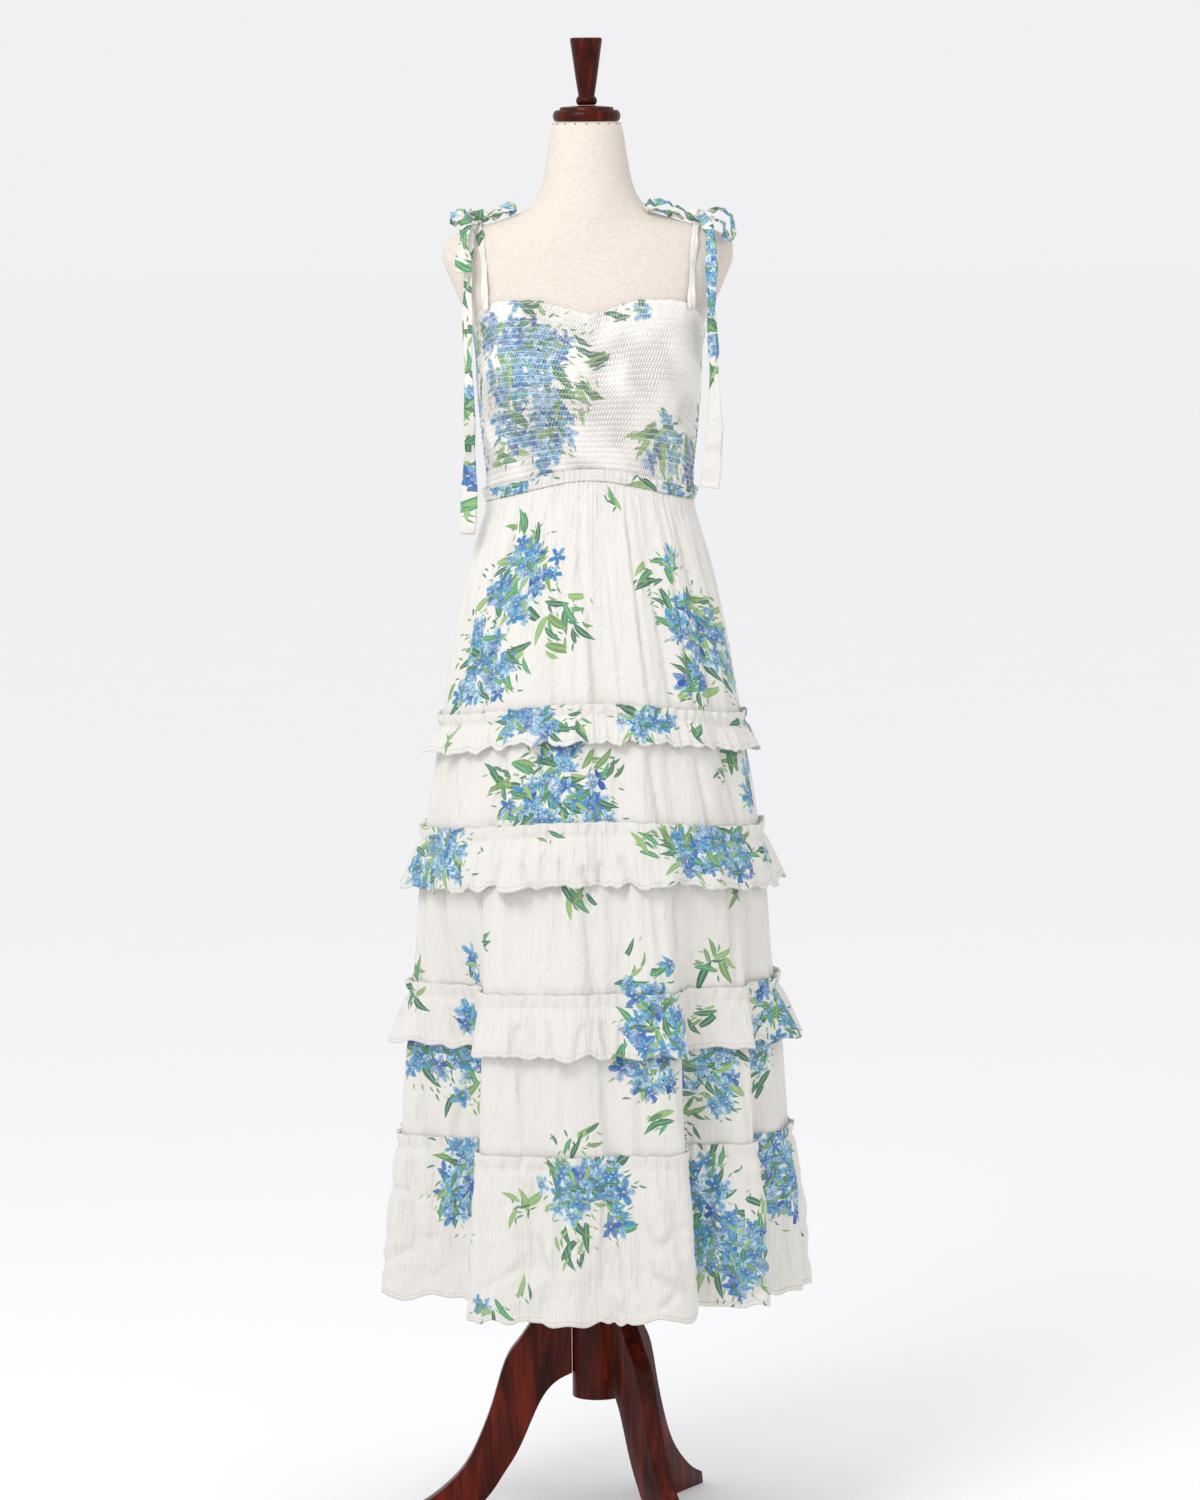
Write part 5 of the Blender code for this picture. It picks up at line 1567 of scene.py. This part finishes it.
@dataclass
class Bows:
    """Straps from the bodice to the shoulder, tied in a bow on each side."""

    finish: bpy.types.Material
    width: float = 0.0145
    tail_width: float = 0.0165
    strap_width: float = 0.0115
    thickness: float = 0.0010
    knot: tuple = (0.1400, 0.0000, 1.7241)
    knot_size: tuple = (0.0130, 0.0110, 0.0095)
    strap_end: float = 0.0035
    strap_lift: float = 0.0022
    strap_steps: int = 30
    crush: float = 0.0016
    tail_spread: float = 0.65

    def _ribbon(self, name: str, places: Sequence[Vector], levels: Sequence[Vector], width: float,
                spots: Sequence[Spot], seed: int, spread: float = 0.0, crush: float = 0.0) -> None:
        """A tie along its places, softly cupped and puckered.

        Args:
            name: The CAD node that it replaces.
            places: Its middle line.
            levels: The way its width runs at each place.
            width: Its cut width.
            spots: Its bouquets.
            seed: Shifts its puckers.
            spread: How much wider its free end opens, as a share.
            crush: How far it is crushed across its face, in metres.
        """
        last = len(places) - 1
        frames = []
        for index, (place, level) in enumerate(zip(places, levels)):
            run = (places[min(index + 1, last)] - places[max(index - 1, 0)]).normalized()
            across = (level - run * run.dot(level)).normalized()
            frames.append([list(part) for part in (place, across, run.cross(across))])

        def place_on(u: np.ndarray, v: np.ndarray) -> np.ndarray:
            """The tie's shape.

            Args:
                u: Shares of its width.
                v: Shares of its length.

            Returns:
                World points.
            """
            index = np.rint(v * last).astype(int)
            base, across, face = np.array(frames)[index].transpose(1, 0, 2)
            side = 2.0 * u - 1.0
            pinch = (1.0 - 0.26 * np.sin(index * 0.21 + seed) ** 2
                     - 0.10 * np.sin(index * 0.53 + 2.0 * seed) ** 2)
            pinch = pinch + spread * ease((v - 0.62) / 0.30)
            pucker = (0.0007 * np.sin(index * 0.9 + seed) * (1.0 - side * side)
                      + 0.0013 * side * np.abs(side) * np.sin(index * 0.31 + 2.4 * seed))
            pucker = pucker + crush * (np.sin(index * 0.62 + 1.7 * seed) * (0.55 + 0.45 * side)
                                       + 0.5 * np.sin(index * 1.15 + seed) * side)
            pinch = pinch - 140.0 * crush * np.sin(index * 0.34 + seed) ** 2
            opened = 0.0022 * spread * ease((v - 0.80) / 0.08)
            pucker = pucker + opened * np.sin(70.0 * v) * (1.0 - 0.4 * side)
            return base + across * (0.5 * width * side * pinch)[:, None] + face * pucker[:, None] + AXIS

        sheet = Sheet(f"{name}_cloth", 6, last, place_on, spots=spots, shell=self.thickness, seed=seed)
        piece = finish_piece(sheet.build(self.finish), [name])

    @staticmethod
    def _along(length: float, width: float, blooms: Sequence[float], sprays: Sequence[float]) -> list:
        """Print spots at shares of a tie's length.

        Args:
            length: The tie's length.
            width: Its width.
            blooms: The flower heads' shares.
            sprays: The leaf sprays' shares.

        Returns:
            The spots.
        """
        spots = [Spot(((0.5 * width, share * length, 0.016),), ()) for share in blooms]
        return spots + [Spot((), ((0.5 * width, share * length, 0.012),)) for share in sprays]

    def _loop(self, name: str, loop: Loop, seed: int) -> None:
        """One loop of a bow, flat in its own leaning plane.

        Args:
            name: The CAD node that it replaces.
            loop: Its outline and where it stands.
            seed: Shifts its puckers.
        """
        sign = side_of(name)
        turn, lean = math.radians(loop.turn), math.radians(loop.lean)
        away = Vector((math.cos(turn), -math.sin(turn), 0.0))
        level = Vector((math.sin(turn) * math.cos(lean), math.cos(turn) * math.cos(lean), math.sin(lean)))
        rising = away.cross(level)
        start = Vector((loop.root_x, self.knot[1], self.knot[2]))
        places = [start + away * reach + rising * rise for reach, rise in smooth_run(loop.outline, 6)]
        places = [Vector((sign * place.x, place.y, place.z)) for place in places]
        levels = [Vector((sign * level.x, level.y, level.z))] * len(places)
        blooms = (0.35, 0.75) if sign > 0.0 else (0.5,)
        spots = self._along(run_length(places), self.width, blooms, (0.12, 0.9))
        self._ribbon(name, places, levels, self.width, spots, seed, crush=self.crush)

    def _tail(self, name: str, knots: Sequence[tuple], seed: int) -> None:
        """One hanging end of a bow.

        Args:
            name: The CAD node that it replaces.
            knots: Its (x, y, z, turn of its width in degrees) from the knot down.
            seed: Shifts its puckers.
        """
        sign = side_of(name)
        points = smooth_run(knots, 9)
        places = [Vector((sign * p[0], p[1], p[2])) for p in points]
        levels = []
        for index, point in enumerate(points):
            run = (places[min(index + 1, len(places) - 1)] - places[max(index - 1, 0)]).normalized()
            start = (Vector((0.0, 1.0, 0.0)) - run * run.y).normalized()
            levels.append(Matrix.Rotation(math.radians(sign * point[3]), 3, run) @ start)
        blooms, sprays = (0.06, 0.16, 0.27, 0.38, 0.52), (0.45, 0.6)
        if name == "tail_short_left":
            blooms, sprays = (0.35,), (0.15, 0.65, 0.9)
        elif name == "tail_long_left":
            blooms, sprays = (0.62, 0.82), (0.08, 0.18, 0.28, 0.40, 0.50, 0.72, 0.93)
        width = self.tail_width if sign > 0.0 else self.width
        spots = self._along(run_length(places), width, blooms, sprays)
        self._ribbon(name, places, levels, width, spots, seed, spread=self.tail_spread)

    @staticmethod
    def _form_point(x: float, z: float, front: bool) -> Vector:
        """A place on the form's surface.

        Args:
            x: How far to the side it is.
            z: Its height.
            front: Whether it is ahead of the form or behind it.

        Returns:
            The place.
        """
        heights, columns = GARMENT.form
        half, ahead, behind, power = (float(np.interp(z, heights, column)) for column in columns)
        reach = min(abs(x) / half, 1.0)
        depth = -ahead if front else behind
        return Vector((x, depth * (1.0 - reach**power) ** (1.0 / power), z))

    def _strap(self, name: str, foot_x: float, foot_z: float, front: bool, seed: int) -> None:
        """A strap from the bodice's top band up over the form to the knot.

        Args:
            name: The CAD node that it replaces.
            foot_x: How far to the side its foot is.
            foot_z: Its foot's height.
            front: Whether it runs up the front or the back.
            seed: Shifts its puckers.
        """
        sign = side_of(name)
        top_x = self.knot[0]
        rising = sorted((row.half_width, row.z) for row in FORM if 1.68 < row.z < 1.76)
        ridge, before, after = (float(value) for value in
                                steady(rising, np.array([top_x, top_x - 0.005, top_x + 0.005])))
        cloth_lift = FORM_TO_CLOTH + CLOTH_ROOM + GAP + 0.0011
        step = 0.002
        rows = []
        for index in range(self.strap_steps + 1):
            part = index / self.strap_steps
            x = foot_x + (top_x - foot_x) * part
            z = foot_z + (ridge - 0.0010 - foot_z) * (1.0 - (1.0 - part) ** 1.4)
            across = self._form_point(x - step, z, front) - self._form_point(x - 2 * step, z, front)
            upward = self._form_point(x - step, z, front) - self._form_point(x - step, z - step, front)
            outward = across.cross(upward).normalized()
            outward = outward if (outward.y < 0.0) == front else -outward
            lift = self.strap_lift + (cloth_lift - self.strap_lift) * float(ease(np.array(1.6 - 4.0 * part)))
            rows.append((self._form_point(x, z, front) + outward * lift, outward))
        outward = Vector(((before - after) / 0.010, 0.0, 1.0)).normalized()
        end = Vector((top_x, -self.strap_end if front else self.strap_end, ridge)) + outward * self.strap_lift
        rows.append((end, outward))
        levels = []
        for index, (place, outward) in enumerate(rows):
            along = rows[min(index + 1, len(rows) - 1)][0] - rows[max(index - 1, 0)][0]
            across = outward.cross(along).normalized()
            levels.append(Vector((sign * across.x, across.y, across.z)))
        places = [Vector((sign * place.x, place.y, place.z)) for place, _ in rows]
        spots = self._along(0.14, self.strap_width, (), (0.75,) if sign < 0.0 else ())
        self._ribbon(name, places, levels, self.strap_width, spots, seed, crush=0.6 * self.crush)

    def _knot_place(self, sign: float, seed: int, u: np.ndarray, v: np.ndarray) -> np.ndarray:
        """A knot's shape, a small ball with turned grooves.

        Args:
            sign: The sign of x on its side.
            seed: Shifts its grooves.
            u: Shares of the way round.
            v: Shares of the way from end to end.

        Returns:
            World points.
        """
        around, polar = 2.0 * np.pi * u, np.pi * v
        fold = 0.07 * np.sin(3.0 * around + 5.0 * polar + seed) + 0.04 * np.sin(7.0 * around - 4.0 * polar)
        ball = 0.98 + fold * np.sin(polar)
        ring = (np.sin(polar) * np.sin(around), np.sin(polar) * np.cos(around))
        xyz = np.stack((np.cos(polar), *ring), axis=1)
        middle = np.array((sign * self.knot[0], self.knot[1], self.knot[2]))
        return xyz * ball[:, None] * np.array(self.knot_size) + middle + AXIS

    def _knot(self, name: str, seed: int) -> None:
        """A knot of wrapped cloth.

        Args:
            name: The CAD node that it replaces.
            seed: Shifts its grooves.
        """
        sheet = Sheet(f"{name}_cloth", 40, 24, partial(self._knot_place, side_of(name), seed), closed=True,
                      shell=0.0, seed=seed, spots=[Spot(((0.02, 0.012, 0.016),), ((0.05, 0.02, 0.01),))])
        finish_piece(sheet.build(self.finish), [name])

    def build(self) -> None:
        """Make the straps, knots, loops and tails on both shoulders."""
        for number, side in enumerate(("left", "right")):
            self._strap(f"strap_front_{side}", 0.1290, 1.6040, True, 11 + number)
            self._strap(f"strap_back_{side}", 0.0950, 1.5580, False, 13 + number)
            self._knot(f"knot_{side}", 15 + number)
        for number, (name, loop) in enumerate(LOOPS.items()):
            self._loop(name, loop, 17 + number)
        for number, (name, knots) in enumerate(TAILS.items()):
            self._tail(name, knots, 21 + number)


@dataclass
class Studio:
    """A pale floor, soft lights and the camera at the photograph's angle."""

    paper: bpy.types.Material
    lens: float = 144.0
    place: tuple = (0.0101, -7.8, 1.86)
    # The photo's focal length is 6000 pixels, and its horizon lies 640 above its middle.
    tilt: float = math.degrees(math.atan(640.0 / 6000.0))
    roll: float = -0.5
    floor_half: float = 60.0
    air: str = "#FCFCFE"
    air_strength: float = 0.90

    def _lamp(self, name: str, place: tuple, target: tuple, size: float, power: float) -> None:
        """A square soft light aimed at a point.

        Args:
            name: Its name.
            place: Where it stands.
            target: What it is aimed at.
            size: Its side in metres.
            power: Its power in watts.
        """
        data = bpy.data.lights.new(name, "AREA")
        data.shape = "SQUARE"
        data.size = size
        data.energy = power
        lamp = bpy.data.objects.new(name, data)
        lamp.location = place
        lamp.rotation_euler = (Vector(target) - Vector(place)).to_track_quat("-Z", "Y").to_euler()
        bpy.context.scene.collection.objects.link(lamp)

    def build(self) -> None:
        """Make the floor, the lights, the world and the camera."""
        bm = bmesh.new()
        bmesh.ops.create_grid(bm, x_segments=4, y_segments=4, size=self.floor_half)
        solid_object("studio_floor", bm, self.paper, 40.0)
        self._lamp("key_light", (-1.1, -1.9, 3.3), (0.0, 0.0, 2.0), 1.2, 40.0)
        scene = bpy.context.scene
        world = bpy.data.worlds.new("studio_air")
        world.use_nodes = True
        back = world.node_tree.nodes["Background"]
        back.inputs[0].default_value = srgb(self.air)
        back.inputs[1].default_value = self.air_strength
        scene.world = world
        scene.view_settings.view_transform = "Standard"
        scene.view_settings.look = "None"
        data = bpy.data.cameras.new("camera")
        data.lens = self.lens
        data.sensor_width = 36.0
        data.sensor_fit = "AUTO"
        camera = bpy.data.objects.new("camera", data)
        camera.matrix_world = (Matrix.Translation(Vector(self.place) + Vector(AXIS))
                               @ Matrix.Rotation(math.radians(90.0 - self.tilt), 4, "X")
                               @ Matrix.Rotation(math.radians(self.roll), 4, "Z"))
        data.clip_start, data.clip_end = 0.1, 200.0
        scene.collection.objects.link(camera)
        scene.camera = camera


# The rows that every ruffle starts with: its heading above the stitch line, and the cloth just below it.
HEADING = (Frill(-0.0170, 0.0028, 0.0040), Frill(-0.0060, 0.0018, 0.0020), Frill(0.0, 0.0, 0.0004),
           Frill(0.0080, 0.0028, 0.0030))


def main() -> None:
    """Build the stand, the form and the dress, and light them."""
    logging.basicConfig(level=logging.INFO, format="%(message)s")
    design = BouquetPrint()
    groups = {"flowers": design.flowers(), "leaves": design.leaves()}
    voile = PrintedVoile("printed_voile").build(groups)
    # The shirred bodice's ground is painted lighter than the same voile's on the skirt: painted light that
    # lifts the shade between its puffs.
    shirred = PrintedVoile("printed_voile_shirred", pleat_pitch=0.0022, pleat_depth=0.12, row_pitch=0.005,
                           rumple_depth=0.12, ground="#F4EFE9", shirred=True).build(groups)
    gathered = PrintedVoile("printed_voile_gathered", pleat_pitch=0.0045, pleat_depth=0.45,
                            row_pitch=0.050, rumple_depth=0.60, hem=0.0055).build(groups)
    mahogany = StainedWood("mahogany_stain").build()
    board = StainedWood("plain_beech_board", "#8A6B47", "#A98B62", "#C2A67C", 0.5, 0.0).build()
    brass = PlainFinish("brass_tack", "#C9A55A", "#A9843C", 0.3, 1.0, 400.0).build()
    paper = PlainFinish("studio_paper", "#FFFFFF", "#FEFEFE", 0.9, 0.0, 3.0).build()
    Stand(mahogany, board).build()
    DressForm(LinenCover().build(), brass).build()
    Bodice(shirred).build()
    for tube in (
        Ruffle("waist_heading", 520, 8, 3, 0.860, 0.0165, gathered, WAIST,
               (Frill(-0.0130, 0.0016, 0.0030), Frill(0.0015, 0.0002, 0.0004)), 96, 0.25, 0.0003, 0.0),
        Tier("tier_1", 420, 64, 4, 1.060, 0.310, voile, WAIST, RUFFLE_1, 118, 0.045),
        Ruffle("ruffle_1", 560, 18, 5, 1.300, 0.052, gathered, RUFFLE_1,
               (Frill(-0.0150, 0.0028, 0.0040), *HEADING[1:], Frill(0.0340, 0.0062, 0.0120))),
        Tier("tier_2", 420, 34, 6, 1.200, 0.155, voile, RUFFLE_1, RUFFLE_2, 100, 0.035),
        Ruffle("ruffle_2", 560, 26, 7, 1.480, 0.084, gathered, RUFFLE_2,
               (*HEADING, Frill(0.0320, 0.0065, 0.0090), Frill(0.0640, 0.0085, 0.0185))),
        Tier("tier_3", 420, 44, 8, 1.520, 0.215, voile, RUFFLE_2, RUFFLE_3, 96, 0.035),
        Ruffle("ruffle_3", 560, 26, 9, 1.700, 0.083, gathered, RUFFLE_3,
               (*HEADING, Frill(0.0320, 0.0065, 0.0100), Frill(0.0630, 0.0095, 0.0190))),
        Tier("tier_4", 420, 42, 10, 1.760, 0.205, voile, RUFFLE_3, FLOUNCE, 96, 0.035),
        Ruffle("flounce", 560, 56, 11, 1.950, 0.220, gathered, FLOUNCE,
               (*HEADING, Frill(0.0600, 0.0055, 0.0060), Frill(0.1300, 0.0075, 0.0080),
                Frill(0.1970, 0.0085, 0.0110)), crumple=0.0034, hem_wander=0.0048),
    ):
        tube.build()
    Bows(voile).build()
    Studio(paper).build()


if __name__ == "__main__":
    main()
